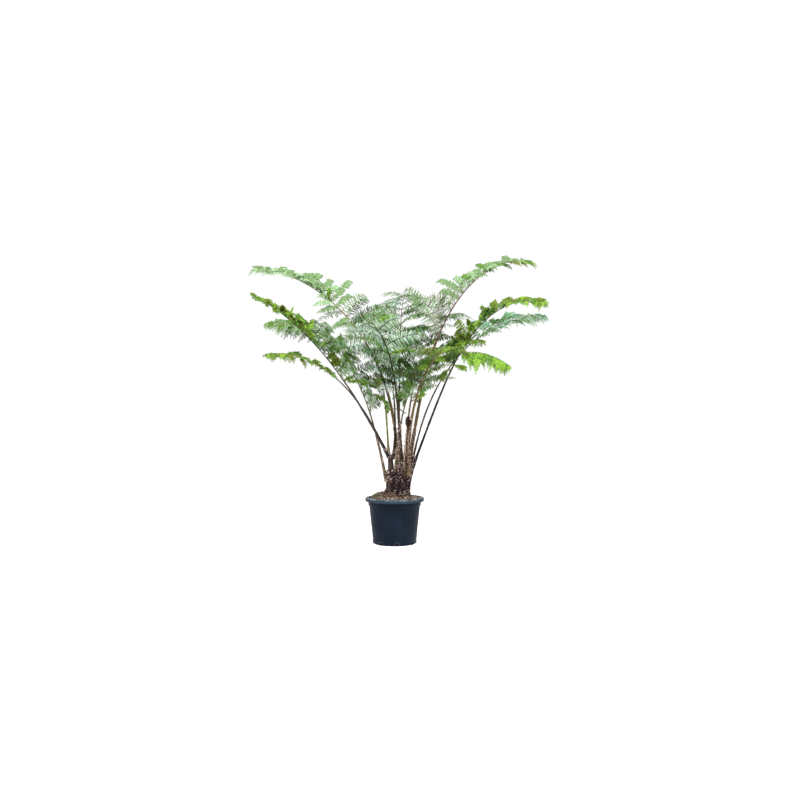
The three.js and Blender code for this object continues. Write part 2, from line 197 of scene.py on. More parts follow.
for row in SPRIG_ROWS:
    sprig = {**EVERY_SPRIG, **dict(zip(SPRIG_FIELDS, row))}
    sprig["lift"], sprig["inner"], sprig["outer"] = sprig["fold"], sprig["look"], sprig["look"]
    FRONDS[sprig["name"]] = sprig
    SIDE_FRONDS[sprig["name"]] = (sprig["on"], sprig["at"])
print(len(FRONDS), "fronds and sprigs,", len(SIDE_FRONDS), "of them on another frond")

# %% [markdown]
# The line is added up from 800 short straight steps. With numpy one call gives many places at
# once, each with the direction ahead, the direction to the side and the direction of the upper
# face of the blade, which is all that a stem, a rib or a leaflet needs to know. With it, the
# side fronds and sprigs get their bases: places on the line of the frond that carries them.

# %% Follow a line
STEPS = 800


def follow(line, lengths):
    """Point, ahead, side and up on an arching line, at lengths in millimetres along it."""
    whole = line["length"]
    fine = np.linspace(0, whole, STEPS + 1)
    leaning = line["tip"] - line["lean"]
    lean = np.radians(line["lean"] + leaning * (fine / whole) ** line["power"])
    heading = np.radians(line["az"] + line["sweep"] * fine / whole)
    ahead = np.stack([np.sin(lean) * np.cos(heading), np.sin(lean) * np.sin(heading),
                      np.cos(lean)], 1)
    steps = (ahead[1:] + ahead[:-1]) / 2 * whole / STEPS
    points = np.vstack([np.zeros(3), np.cumsum(steps, 0)]) + np.array(line["base"], float)
    side = np.stack([np.sin(heading), -np.cos(heading), 0 * heading], 1)
    up = np.cross(side, ahead)
    lengths = np.atleast_1d(np.asarray(lengths, float))
    return [np.stack([np.interp(lengths, fine, part[:, k]) for k in range(3)], 1) * scale
            for part, scale in ((points, MM), (ahead, 1), (side, 1), (up, 1))]


for name, (parent, at) in SIDE_FRONDS.items():
    FRONDS[name]["base"] = tuple(follow(FRONDS[parent], at)[0][0] / MM)
for name in ("upper_left", "upper_right"):
    tip = follow(FRONDS[name], FRONDS[name]["length"])[0][0]
    print("tip of", name, "at", tip.round(2).tolist())

# %% [markdown]
# ## Meshes from arrays
# The plant has tens of thousands of leaflets, hairs and chips. Modelling each by hand is out of
# the question, and that many separate objects would choke Blender. So one shape is worked out
# as numbers, repeated with numpy, and all copies become one joined mesh. Two helpers are
# enough: one turns points and triangles into an object, the other sweeps thin tubes along paths.

# %% Two builders for joined meshes
def mesh_piece(name, points, faces, materials, material_of_face=None):
    """One object from arrays of points and triangles."""
    mesh = bpy.data.meshes.new(name)
    points = np.ascontiguousarray(points.reshape(-1, 3), np.float32)
    faces = np.ascontiguousarray(faces.reshape(-1, 3), np.int32)
    mesh.vertices.add(len(points))
    mesh.vertices.foreach_set("co", points.ravel())
    mesh.loops.add(faces.size)
    mesh.loops.foreach_set("vertex_index", faces.ravel())
    mesh.polygons.add(len(faces))
    mesh.polygons.foreach_set("loop_start", np.arange(0, faces.size, 3, dtype=np.int32))
    for material in materials:
        mesh.materials.append(material)
    if material_of_face is not None:
        mesh.polygons.foreach_set("material_index", np.ascontiguousarray(material_of_face, np.int32))
    mesh.update(calc_edges=True)
    piece = bpy.data.objects.new(name, mesh)
    bpy.context.scene.collection.objects.link(piece)
    return piece


def unit(vectors):
    return vectors / np.maximum(np.linalg.norm(vectors, axis=-1, keepdims=True), 1e-9)


ODD_WAY = np.array([0.35, 0.93, 0.1])   # Any direction does, if hardly a path runs along it.


def sweep_tubes(paths, radii, sides, flat=1.0):
    """Closed tubes along many paths. paths is (count, steps, 3) and radii is (count, steps)."""
    count, steps, _ = paths.shape
    tangent = unit(np.gradient(paths, axis=1))
    across = unit(np.cross(tangent, ODD_WAY))
    over = np.cross(tangent, across)
    turn = np.arange(sides) / sides * 2 * np.pi
    ring = (np.cos(turn)[:, None] * across[:, :, None]
            + flat * np.sin(turn)[:, None] * over[:, :, None])
    points = paths[:, :, None] + radii[:, :, None, None] * ring
    here = np.arange(steps * sides).reshape(steps, sides)
    after = np.roll(here, -1, axis=1)
    quads = np.stack([here[:-1], after[:-1], after[1:], here[1:]], -1).reshape(-1, 4)
    walls = np.vstack([quads[:, [0, 1, 2]], quads[:, [0, 2, 3]]])
    fan = np.arange(1, sides - 1)
    foot = np.stack([0 * fan, fan + 1, fan], 1)
    top = np.stack([0 * fan, fan, fan + 1], 1) + (steps - 1) * sides
    one = np.vstack([walls, foot, top])
    faces = one[None] + (np.arange(count) * steps * sides)[:, None, None]
    return points.reshape(-1, 3), faces.reshape(-1, 3)


print("array builders ready")

# %% [markdown]
# ## Finishes
# Every patterned finish is a node material that reads Object coordinates, so its pattern keeps
# its size on a long stem and on a small chip. Two effects come back in many of them: cloudy
# mottling with a little height for the bump, and small specks. Each is a node group, built once,
# and every material places it with its own values. Wiring nodes in code is wordy, so a small
# helper adds a node and says in the same line what fills or feeds each of its inputs.

# %% Colours, nodes and groups
def colour(red, green, blue):
    """A linear colour from display values."""
    def linear(value):
        value /= 255
        return value / 12.92 if value <= 0.04045 else ((value + 0.055) / 1.055) ** 2.4
    return (linear(red), linear(green), linear(blue), 1.0)


def fill(node, inputs):
    """Give a node's inputs their values, or link them to the sockets that feed them."""
    for label, value in inputs.items():
        if isinstance(value, bpy.types.NodeSocket):
            node.id_data.links.new(value, node.inputs[label])
        else:
            node.inputs[label].default_value = value


def adder(tree):
    """A short way to add nodes to a tree: the kind of node, its inputs and its settings."""
    def add(kind, inputs=None, **settings):
        node = tree.nodes.new("ShaderNode" + kind)
        for label, value in settings.items():
            setattr(node, label, value)
        fill(node, inputs or {})
        return node
    return add


def group_with(name, inputs, outputs):
    """An empty node group with named sockets."""
    group = bpy.data.node_groups.new(name, "ShaderNodeTree")
    for label, kind, value in inputs:
        socket = group.interface.new_socket(name=label, in_out="INPUT", socket_type=kind)
        if value is not None:
            socket.default_value = value
    for label, kind in outputs:
        group.interface.new_socket(name=label, in_out="OUTPUT", socket_type=kind)
    return group, group.nodes.new("NodeGroupInput"), group.nodes.new("NodeGroupOutput")


print("mid green as linear numbers:", [round(v, 3) for v in colour(85, 130, 60)])

# %% [markdown]
# The mottling mixes three colours by a fractal noise, which suits bark, soil and plastic alike.
# The same noise leaves as a height. Spread says how far from its middle value the noise has to
# be for the pure dark or light colour. Stretch squeezes the pattern along X and Y only, which
# turns the clouds into streaks that run up a stem.

# %% Node group: mottling
def build_mottle():
    group, inside, out = group_with("mottle", [
        ("Vector", "NodeSocketVector", None), ("Scale", "NodeSocketFloat", 20.0),
        ("Stretch", "NodeSocketFloat", 1.0), ("Dark", "NodeSocketColor", None),
        ("Middle", "NodeSocketColor", None), ("Light", "NodeSocketColor", None),
        ("Spread", "NodeSocketFloat", 0.2),
    ], [("Color", "NodeSocketColor"), ("Height", "NodeSocketFloat")])
    add, given = adder(group), inside.outputs
    squeeze = add("CombineXYZ", {"X": given["Stretch"], "Y": given["Stretch"], "Z": 1.0})
    place = add("VectorMath", {0: given["Vector"], 1: squeeze.outputs[0]}, operation="MULTIPLY")
    clouds = add("TexNoise", {"Vector": place.outputs[0], "Scale": given["Scale"], "Detail": 6.0,
                              "Roughness": 0.62})
    low = add("Math", {0: 0.5, 1: given["Spread"]}, operation="SUBTRACT")
    high = add("Math", {0: 0.5, 1: given["Spread"]}, operation="ADD")
    share = add("MapRange", {"Value": clouds.outputs["Fac"], "From Min": low.outputs[0],
                             "From Max": high.outputs[0]})
    first = add("MapRange", {"Value": share.outputs[0], "From Max": 0.5})
    second = add("MapRange", {"Value": share.outputs[0], "From Min": 0.5})
    lower = add("Mix", {"Factor": first.outputs[0], "A": given["Dark"], "B": given["Middle"]},
                data_type="RGBA")
    upper = add("Mix", {"Factor": second.outputs[0], "A": lower.outputs["Result"],
                        "B": given["Light"]}, data_type="RGBA")
    fill(out, {"Color": upper.outputs["Result"], "Height": clouds.outputs["Fac"]})
    return group


MOTTLE = build_mottle()
print("group:", MOTTLE.name, [item.name for item in MOTTLE.interface.items_tree])

# %% [markdown]
# Specks are the dots of a cell pattern. Only cells whose random number is under Share get one,
# and a dot's size is a part of its cell. The mask is 1 on a speck and 0 beside it.

# %% Node group: specks
def build_specks():
    group, inside, out = group_with("specks", [
        ("Vector", "NodeSocketVector", None), ("Scale", "NodeSocketFloat", 150.0),
        ("Share", "NodeSocketFloat", 0.3), ("Size", "NodeSocketFloat", 0.3),
    ], [("Mask", "NodeSocketFloat")])
    add, given = adder(group), inside.outputs
    cells = add("TexVoronoi", {"Vector": given["Vector"], "Scale": given["Scale"]})
    near = add("Math", {0: cells.outputs["Distance"], 1: given["Size"]}, operation="LESS_THAN")
    chance = add("SeparateColor", {0: cells.outputs["Color"]})
    chosen = add("Math", {0: chance.outputs[0], 1: given["Share"]}, operation="LESS_THAN")
    both = add("Math", {0: near.outputs[0], 1: chosen.outputs[0]}, operation="MULTIPLY")
    fill(out, {"Mask": both.outputs[0]})
    return group


SPECKS = build_specks()
print("group:", SPECKS.name, [item.name for item in SPECKS.interface.items_tree])

# %% [markdown]
# A material is a Principled shader with these groups in front of it. This helper covers most of
# the plant: mottled colour, specks of another colour laid over it, and a bump from both.

# %% A mottled, speckled material
def new_material(name, roughness, shine):
    """A material with its shader, and the helper that adds nodes to it."""
    material = bpy.data.materials.new(name)
    material.use_nodes = True
    shader = material.node_tree.nodes["Principled BSDF"]
    fill(shader, {"Roughness": roughness, "Specular IOR Level": shine})
    return material, shader, adder(material.node_tree)


def mottled(name, dark, middle, light, scale, stretch=1.0, spread=0.2, roughness=0.7, bump=0.3,
            depth=0.001, speck=None, speck_scale=150.0, speck_share=0.3, speck_size=0.3):
    """A material of three mottled colours, with specks of a fourth one where it is given."""
    material, shader, add = new_material(name, roughness, 0.12)
    place = add("TexCoord").outputs["Object"]
    clouds = add("Group", {"Vector": place, "Scale": scale, "Stretch": stretch,
                           "Dark": colour(*dark), "Middle": colour(*middle),
                           "Light": colour(*light), "Spread": spread}, node_tree=MOTTLE)
    tint, height = clouds.outputs["Color"], clouds.outputs["Height"]
    if speck:
        dots = add("Group", {"Vector": place, "Scale": speck_scale, "Share": speck_share,
                             "Size": speck_size}, node_tree=SPECKS)
        over = add("Mix", {"Factor": dots.outputs["Mask"], "A": tint, "B": colour(*speck)},
                   data_type="RGBA")
        lift = add("Math", {0: height, 1: dots.outputs["Mask"]}, operation="ADD")
        tint, height = over.outputs["Result"], lift.outputs[0]
    relief = add("Bump", {"Strength": bump, "Distance": depth, "Height": height})
    fill(shader, {"Base Color": tint, "Normal": relief.outputs["Normal"]})
    return material


print("material helper ready")

# %% [markdown]
# ## The pot
# The pot is a blow-moulded nursery container: thin dark plastic, a rim rolled outwards, a collar
# under it and a row of drain windows in the foot. It is round, so it could be a spun profile.
# Here it is pulled up ring by ring instead, the way one models a bowl by hand: a filled circle
# is extruded and scaled again and again, up the outside, over the rim, and down the inside to
# the floor. The circle's own face becomes the underside, and the last one the inner floor.

# %% Pull the pot up ring by ring
POT_H, RIM_R, COLLAR_R, WALL_R, FOOT_R, WALL = 0.350, 0.225, 0.202, 0.195, 0.164, 0.004
COLLAR_Z = POT_H - 0.058
LIP_Z = POT_H - 0.028
FLOOR_Z = 0.004


def wall_radius(z):
    """Outer radius of the tapering wall at a height."""
    return FOOT_R + (WALL_R - FOOT_R) * z / COLLAR_Z


def pull_rings(name, first_radius, rings, sides, first_z=0.0):
    """Extrude a filled circle through a list of (radius, height) rings."""
    bpy.ops.object.select_all(action="DESELECT")
    bpy.ops.mesh.primitive_circle_add(vertices=sides, radius=first_radius, fill_type="NGON",
                                      location=(0, 0, first_z))
    piece = bpy.context.object
    piece.name = name
    bpy.ops.object.mode_set(mode="EDIT")
    bpy.ops.mesh.select_all(action="SELECT")
    radius, z = first_radius, first_z
    for next_radius, next_z in rings:
        bpy.ops.mesh.extrude_region_move(TRANSFORM_OT_translate={"value": (0, 0, next_z - z)})
        grow = next_radius / radius
        bpy.ops.transform.resize(value=(grow, grow, 1), center_override=(0, 0, next_z))
        radius, z = next_radius, next_z
    bpy.ops.mesh.select_all(action="SELECT")
    bpy.ops.mesh.normals_make_consistent(inside=False)
    bpy.ops.object.mode_set(mode="OBJECT")
    return piece


pot_rings = [
    (FOOT_R - 0.002, 0.0022), (FOOT_R, 0.007), (wall_radius(0.03), 0.03), (wall_radius(0.15), 0.15),
    (wall_radius(0.25), 0.25), (WALL_R, COLLAR_Z - 0.006), (COLLAR_R - 0.001, COLLAR_Z - 0.001),
    (COLLAR_R, COLLAR_Z + 0.002), (COLLAR_R, POT_H - 0.009), (RIM_R - WALL, POT_H - 0.009),
    (RIM_R - WALL, LIP_Z + 0.001), (RIM_R - 0.002, LIP_Z), (RIM_R, LIP_Z + 0.0018),
    (RIM_R, POT_H - 0.006), (RIM_R - 0.0018, POT_H - 0.0018), (RIM_R - 0.006, POT_H),
    (COLLAR_R + 0.001, POT_H), (COLLAR_R - 0.0032, POT_H - 0.002), (COLLAR_R - WALL, POT_H - 0.007),
    (COLLAR_R - WALL, COLLAR_Z + 0.002), (WALL_R - WALL, COLLAR_Z - WALL),
    (wall_radius(0.10) - WALL, 0.10), (wall_radius(FLOOR_Z) - WALL, FLOOR_Z),
]
pot = pull_rings("nursery_pot", FOOT_R - 0.007, pot_rings, 96)
print("pot rings:", len(pot_rings), "faces:", len(pot.data.polygons))

# %% [markdown]
# The drain windows are cut through the foot of the wall. One cutter is a cube with its edges
# bevelled, which gives the window round corners. It is repeated round the foot, and a boolean
# modifier takes all the cutters out of the pot at once. Each window has a thin raised frame: a
# plane whose inset middle is deleted, thickened with a solidify modifier.

# %% Cut the drain windows
HOLES, HOLE_FIRST, HOLE_Z = 8, -83.5, 0.015
HOLE_DEEP, HOLE_WIDE, HOLE_HIGH = 0.036, 0.025, 0.018


def join_pieces(pieces, name):
    """Join pieces into the first of them."""
    bpy.ops.object.select_all(action="DESELECT")
    for piece in pieces:
        piece.select_set(True)
    bpy.context.view_layer.objects.active = pieces[0]
    bpy.ops.object.join()
    bpy.context.object.name = name
    return bpy.context.object


def round_the_foot(model_one, name):
    """Model the same thing once at every drain window, and join the lot."""
    turns = [math.radians(HOLE_FIRST + k * 360 / HOLES) for k in range(HOLES)]
    return join_pieces([model_one(turn) for turn in turns], name)


def on_circle(radius, turn, z):
    return radius * math.cos(turn), radius * math.sin(turn), z


def hole_cutter(turn):
    bpy.ops.mesh.primitive_cube_add(size=1, location=on_circle(FOOT_R, turn, HOLE_Z),
                                    rotation=(0, 0, turn), scale=(HOLE_DEEP, HOLE_WIDE, HOLE_HIGH))
    cutter = bpy.context.object
    bpy.ops.object.transform_apply(location=False, rotation=False, scale=True)
    rounding = cutter.modifiers.new("rounding", "BEVEL")
    rounding.width, rounding.segments = 0.004, 3
    return apply_all(cutter)


cutters = round_the_foot(hole_cutter, "hole_cutters")
holes = pot.modifiers.new("holes", "BOOLEAN")
holes.operation, holes.solver, holes.object = "DIFFERENCE", "EXACT", cutters
apply_all(pot)
bpy.data.objects.remove(cutters)
print("pot faces with drain windows:", len(pot.data.polygons))

# %% Frame the drain windows
FRAME_BORDER, FRAME_THICK = 0.0044, 0.0022


def hole_frame(turn):
    reach = wall_radius(HOLE_Z) + 0.0005
    bpy.ops.mesh.primitive_plane_add(size=1, location=on_circle(reach, turn, HOLE_Z),
                                     rotation=(math.pi / 2, 0, turn + math.pi / 2))
    plane = bpy.context.object
    plane.scale = (HOLE_WIDE + 0.010, HOLE_HIGH + 0.009, 1)
    bpy.ops.object.transform_apply(location=False, rotation=False, scale=True)
    bpy.ops.object.mode_set(mode="EDIT")
    bpy.ops.mesh.inset(thickness=FRAME_BORDER)
    bpy.ops.mesh.delete(type="FACE")
    bpy.ops.object.mode_set(mode="OBJECT")
    thick = plane.modifiers.new("thick", "SOLIDIFY")
    thick.thickness, thick.offset = FRAME_THICK, 0
    return apply_all(plane)


frames = round_the_foot(hole_frame, "hole_frames")
print("frame faces:", len(frames.data.polygons))

# %% [markdown]
# The plastic is dark blue-grey with a soft sheen, and it isn't even. The collar under the rim gets
# a band of painted shadow, the rim's own edge is paler, its top is lighter, partly bleached and
# scuffed and partly a painted highlight where the light falls on the lip, and dust sits at the
# foot of the wall. Each of these is a band over the height, mixed over the mottled colour of the
# rest. A noise breaks up the two bands on the rim, as wear does, and varies the sheen of the wall.

# %% Moulded plastic for the pot
# Each band: where it starts and is full, its colour, and its strength, or None where a noise makes it
# patchy.
POT_BANDS = [
    # First a painted shadow: the collar darkened under the rim. Then the rim's paler edge.
    (0.304, 0.312, (5, 11, 22), 0.7), (0.320, 0.328, (40, 53, 64), 0.85),
    # Partly bleaching and scuffs, partly a painted highlight where the light falls on the top of the lip.
    (0.338, 0.348, (96, 106, 112), None), (0.348, 0.3505, (134, 138, 138), None),
    (0.012, 0.000, (36, 46, 56), 0.5),
]


def moulded_plastic():
    # Its bands add a painted shadow under the rim and a painted highlight on the lip to the bleaching and
    # dust.
    material = mottled("pot_plastic_wear_and_painted_light", (5, 13, 24), (9, 19, 32), (17, 29, 44), 9.0,
                       spread=0.28, roughness=0.5, bump=0.12, depth=0.0006,
                       speck=(38, 50, 62), speck_scale=420.0, speck_share=0.10, speck_size=0.22)
    add, shader = adder(material.node_tree), material.node_tree.nodes["Principled BSDF"]
    tint = shader.inputs["Base Color"].links[0].from_socket
    place = add("TexCoord").outputs["Object"]
    height = add("SeparateXYZ", {0: place}).outputs["Z"]
    scuffs = add("TexNoise", {"Vector": place, "Scale": 35.0, "Detail": 5.0}).outputs["Fac"]
    patchy_wear_and_highlight = add("MapRange", {"Value": scuffs, "From Min": 0.42, "From Max": 0.60, "To Min": 0.05})
    for start, full, over, strength in POT_BANDS:
        band = add("MapRange", {"Value": height, "From Min": start, "From Max": full,
                                "To Max": strength or patchy_wear_and_highlight.outputs[0]})
        mix = add("Mix", {"Factor": band.outputs[0], "A": tint, "B": colour(*over)},
                  data_type="RGBA")
        tint = mix.outputs["Result"]
    sheen = add("MapRange", {"Value": scuffs, "To Min": 0.36, "To Max": 0.62})
    fill(shader, {"Specular IOR Level": 0.07, "Roughness": sheen.outputs[0], "Base Color": tint})
    return material


pot = paint(pot, moulded_plastic())
# The frames are paler than the wall.
frames = paint(frames, mottled("pale_frame_plastic", (26, 32, 40), (50, 56, 66), (88, 94, 104), 60.0,
                               roughness=0.6, bump=0.2))
pot = join_pieces([pot, frames], "nursery_pot")
smooth(pot, 30)
settle(pot, ["pot"])
print("pot triangles:", triangles(pot))

# %% [markdown]
# ## The potting mix
# The mix fills the pot to just under the rim, rises towards the caudex and has a mossy mound at
# the back left. The same ring method makes the plug that fills the pot, a hair clear of its
# wall. The rings of its top are then lifted in code, like sculpting, to the height of the heap
# with three sizes of lumps on it, which fade out at the wall.

# %% Fill the pot
EDGE_Z, CROWN_Z = 0.338, 0.372
CAUDEX_X = 0.019


def mix_height(x, y):
    """Height of the potting mix, in metres, with the mound and the broad lumps of the solid."""
    inward = 1 - (x * x + y * y) / WALL_R ** 2
    heap = 0.026 * math.exp(-((x + 0.115) ** 2 + (y - 0.095) ** 2) / 0.078 ** 2)
    heap += 0.008 * math.exp(-(max(0.0, math.hypot(x - CAUDEX_X, y) - 0.09) / 0.025) ** 2)
    heap += 0.020 * math.exp(-((x + 0.035) ** 2 + (y + 0.070) ** 2) / 0.045 ** 2)
    lumps = 0.005 * (math.sin(x / 0.023) * math.cos(y / 0.031) + math.sin((x + y) / 0.017) / 2)
    near_wall = 1 - (1 - inward) ** 4
    return EDGE_Z + (CROWN_Z - EDGE_Z) * inward + (heap + lumps) * near_wall


CLEAR = WALL + 0.0015
PLUG_Z, TOP_RINGS = 0.0045, 45
plug = [(WALL_R - CLEAR, COLLAR_Z - 0.006), (COLLAR_R - CLEAR, COLLAR_Z + 0.006),
        (COLLAR_R - CLEAR, EDGE_Z - 0.001)]
top_radii = [(COLLAR_R - CLEAR) * (1 - k / (TOP_RINGS + 1)) for k in range(1, TOP_RINGS + 1)]
soil = pull_rings("potting_mix", wall_radius(FLOOR_Z) - CLEAR - 0.0006,
                  plug + [(radius, EDGE_Z) for radius in top_radii], 144, first_z=PLUG_Z)
# Each size of lumps: how high, how fine, and a layer of the noise for itself.
LUMPS = ((0.0045, 70, 0), (0.0028, 190, 3), (0.0016, 420, 7))
for vertex in soil.data.vertices:
    x, y, z = vertex.co
    if z + PLUG_Z > EDGE_Z - 0.0005:
        rough = sum(height * noise.noise(Vector((x, y, layer)) * fine)
                    for height, fine, layer in LUMPS)
        inside = min(1, (COLLAR_R - math.hypot(x, y)) / 0.02)
        vertex.co.z = mix_height(x, y) + rough * inside - PLUG_Z
print("mix faces:", len(soil.data.polygons))
print("highest:", round(max(vertex.co.z for vertex in soil.data.vertices) + PLUG_Z, 3))

# %% [markdown]
# Seen close, potting mix is dark crumbs with bits of bark between them, some of them bleached
# almost pink. The top gets the crumbs and the paler bits as mottling and specks, and larger chips
# follow as real pieces. The sides of the plug show only through the drain windows, where they lie
# in shade, so the faces that don't look up get a second, nearly black material: painted shade.

# %% Potting mix finish
MIX = mottled("potting_mix", (24, 19, 16), (66, 54, 46), (120, 104, 91), 130.0, spread=0.14,
              roughness=0.95, bump=0.9, depth=0.004, speck=(196, 172, 154), speck_scale=230.0,
              speck_share=0.14, speck_size=0.34)
# Nearly black: painted shade for the sides of the plug seen through the drain windows.
SHADED_SIDE_MIX = mottled("painted_shade_mix", (3, 3, 3), (8, 6, 5), (18, 14, 11), 130.0, roughness=0.95, bump=0.5)
paint(soil, MIX, SHADED_SIDE_MIX)
# Faces that don't look up get the painted shade.
for face in soil.data.polygons:
    face.material_index = int(face.normal.z < 0.3)
smooth(soil, 60)
settle(soil, ["soil"])
print("mix triangles:", triangles(soil))

# %% [markdown]
# A bark chip is a flat splinter with an uneven outline. One chip is six corners below and six
# above, pulled in a little. Each copy is stretched, turned and tilted by seeded random numbers
# and laid on the mix. The chips come in three groups, each with its own finish: pale bark chips,
# dark ones, and brown litter that gathers round the foot of the caudex. Grey stones are the same
# shape with eight corners, and most of them lie in one patch at the right.

# %% A helper for flat lumps
dice = np.random.default_rng(SEED)


def turned(count, tilt):
    """Random turns about Z followed by a small tilt, as (count, 3, 3) matrices."""
    spin, lean, way = (dice.uniform(0, 2 * np.pi, count), dice.normal(0, tilt, count),
                       dice.uniform(0, 2 * np.pi, count))
    c, s = np.cos(spin), np.sin(spin)
    flat = np.zeros((count, 3, 3))
    flat[:, 0, 0], flat[:, 0, 1], flat[:, 1, 0], flat[:, 1, 1], flat[:, 2, 2] = c, -s, s, c, 1
    axis = np.stack([np.cos(way), np.sin(way), 0 * way], 1)
    cross = np.zeros((count, 3, 3))
    cross[:, 0, 1], cross[:, 0, 2], cross[:, 1, 2] = -axis[:, 2], axis[:, 1], -axis[:, 0]
    cross[:, 1, 0], cross[:, 2, 0], cross[:, 2, 1] = axis[:, 2], -axis[:, 1], axis[:, 0]
    sine, rest = np.sin(lean)[:, None, None], (1 - np.cos(lean))[:, None, None]
    return (np.eye(3) + sine * cross + rest * (cross @ cross)) @ flat


def pebbles(name, places, lengths, widths, heights, tilt, materials, corners=6, sink=0.3):
    """Uneven flat lumps at places on the mix, joined into one piece."""
    count = len(places)
    turn = np.arange(corners) / corners * 2 * np.pi
    outline = np.stack([np.cos(turn), np.sin(turn)], 1)
    wobble = dice.uniform(0.65, 1.15, (count, corners, 1))
    size = np.stack([lengths, widths], 1)[:, None] / 2
    low = outline * wobble * size
    high = low * dice.uniform(0.55, 0.85, (count, 1, 1))
    z_low = -sink * heights[:, None] + 0 * low[..., 0]
    z_high = heights[:, None] * dice.uniform(0.5, 1.0, (count, corners))
    shape = np.concatenate([np.dstack([low, z_low]), np.dstack([high, z_high])], 1)
    shape = np.einsum("nij,nkj->nki", turned(count, tilt), shape) + places[:, None]
    ring = np.arange(corners)
    after = (ring + 1) % corners
    fan = np.arange(1, corners - 1)
    sides = [np.stack([ring, after, after + corners], 1),
             np.stack([ring, after + corners, ring + corners], 1)]
    ends = [np.stack([0 * fan, fan + 1, fan], 1), np.stack([0 * fan, fan, fan + 1], 1) + corners]
    faces = np.vstack(sides + ends)[None] + (np.arange(count) * 2 * corners)[:, None, None]
    return mesh_piece(name, shape, faces, materials)


print("the helper for flat lumps is ready")

# %% Scatter chips and stones
def scatter_on_mix(count, outer=0.190, inner=0.095, centre=None, spread=None):
    """Seeded places on the mix, clear of the caudex and the wall."""
    places = []
    while len(places) < count:
        if centre is None:
            x, y = dice.uniform(-outer, outer, 2)
        else:
            x, y = np.array(centre) + dice.normal(0, spread, 2)
        reach = math.hypot(x, y)
        if reach < outer and math.hypot(x - CAUDEX_X, y) > inner:
            places.append((x, y, mix_height(x, y)))
    return np.array(places)


CHIP = mottled("bark_chips", (56, 44, 37), (130, 111, 98), (224, 208, 194), 80.0, spread=0.11,
               roughness=0.9, bump=0.5, depth=0.001)
DARK_CHIP = mottled("dark_chips", (24, 18, 15), (58, 46, 39), (112, 95, 82), 80.0, spread=0.14,
                    roughness=0.95, bump=0.5, depth=0.001)
LITTER = mottled("brown_litter", (22, 15, 11), (56, 42, 30), (108, 86, 62), 80.0, spread=0.16,
                 roughness=0.95, bump=0.6, depth=0.001)
STONE = mottled("grey_stones", (92, 88, 82), (134, 130, 124), (188, 184, 176), 60.0, spread=0.2,
                roughness=0.85, bump=0.4, depth=0.001)
# Each group: how many, how near to the caudex and how far from the middle, and the finish.
CHIP_GROUPS = [("bark_chips", 460, 0.116, 0.190, CHIP), ("dark_chips", 620, 0.095, 0.190, DARK_CHIP),
               ("foot_litter", 420, 0.084, 0.135, LITTER)]
for name, count, inner, outer, skin in CHIP_GROUPS:
    spots = scatter_on_mix(count, outer, inner)
    lengths, widths = dice.uniform(0.006, 0.021, count), dice.uniform(0.004, 0.010, count)
    chips = pebbles(name, spots, lengths, widths, dice.uniform(0.002, 0.005, count), 0.4, [skin])
    settle(chips)
    print(name, triangles(chips), "triangles")
patch = scatter_on_mix(26, centre=(0.118, 0.085), spread=0.03)
spots = np.vstack([patch, scatter_on_mix(22)])
lengths, widths = dice.uniform(0.008, 0.017, len(spots)), dice.uniform(0.007, 0.013, len(spots))
stones = pebbles("grey_stones", spots, lengths, widths, dice.uniform(0.005, 0.010, len(spots)), 0.3,
                 [STONE], corners=8)
settle(stones)
print("stones:", triangles(stones), "triangles")

# %% [markdown]
# Moss grows on the damp mound at the back left, and in small cushions round the edge. A cushion
# is hundreds of short upright leaves. Each is a thin three-sided spike, bent a little and almost
# a point at its end, so the tube sweep makes them all in one go.

# %% Moss
SPIKE_TAPER = np.array([1.0, 0.9, 0.6, 0.12])
MOSS = mottled("moss", (30, 38, 20), (62, 74, 36), (110, 118, 66), 160.0, spread=0.15,
               roughness=0.95, bump=0.3)


def spikes(name, feet, heads, radius, material, bend=0.2, flat=1.0):
    """Thin bent spikes from feet to heads, joined into one piece."""
    along = np.linspace(0, 1, len(SPIKE_TAPER))[None, :, None]
    way = heads - feet
    sideways = dice.normal(0, 1, feet.shape) * np.linalg.norm(way, axis=1)[:, None] * bend
    curve = sideways[:, None] * np.sin(along * np.pi / 2) * along
    points, faces = sweep_tubes(feet[:, None] + way[:, None] * along + curve,
                                radius[:, None] * SPIKE_TAPER[None], 3, flat)
    return mesh_piece(name, points, faces, [material])


feet = np.vstack([scatter_on_mix(800, centre=(-0.140, 0.075), spread=0.030, inner=0.10),
                  scatter_on_mix(160, centre=(-0.15, -0.03), spread=0.012)])
lean_out = dice.normal(0, 0.0035, feet.shape)
heads = feet + lean_out + np.array([0, 0, 1]) * dice.uniform(0.004, 0.010, (len(feet), 1))
moss = spikes("moss_cushions", feet - [0, 0, 0.002], heads,
              dice.uniform(0.0009, 0.0018, len(feet)), MOSS)
settle(moss)
print("moss triangles:", triangles(moss))

# %% [markdown]
# ## The caudex
# The short trunk is a bundle of old frond bases, wrapped in dark fibre and dry scales. Its core
# is pulled up ring by ring like the pot, with more rings than the pot because it gets relief:
# afterwards every point is moved in or out by lobes and by noise, like a sculpting brush.

# %% The shape of the core
CUT_Z, CAUDEX_TOP = 0.352, 0.556
CAUDEX_DEEP = 0.92
DOME = 0.88


def smooth_step(start, end, t):
    """Rise smoothly from 0 at start to 1 at end."""
    u = min(1, max(0, (t - start) / (end - start)))
    return u * u * (3 - 2 * u)


def caudex_radius(t):
    """Radius of the core at a share t of its height, before lobes."""
    foot = 0.008 * max(0, 1 - 3 * t) ** 2
    crown = 0.008 * smooth_step(0.3, 0.85, t)
    return (0.085 + foot + crown) * (1 - 0.55 * smooth_step(0.8, 1, t) ** 2)


def caudex_height(t):
    """Height at a share t, which grows more slowly once the dome on top begins."""
    return CUT_Z + (CAUDEX_TOP - CUT_Z) * np.minimum(t / DOME, 1 + (t - DOME) / 3)


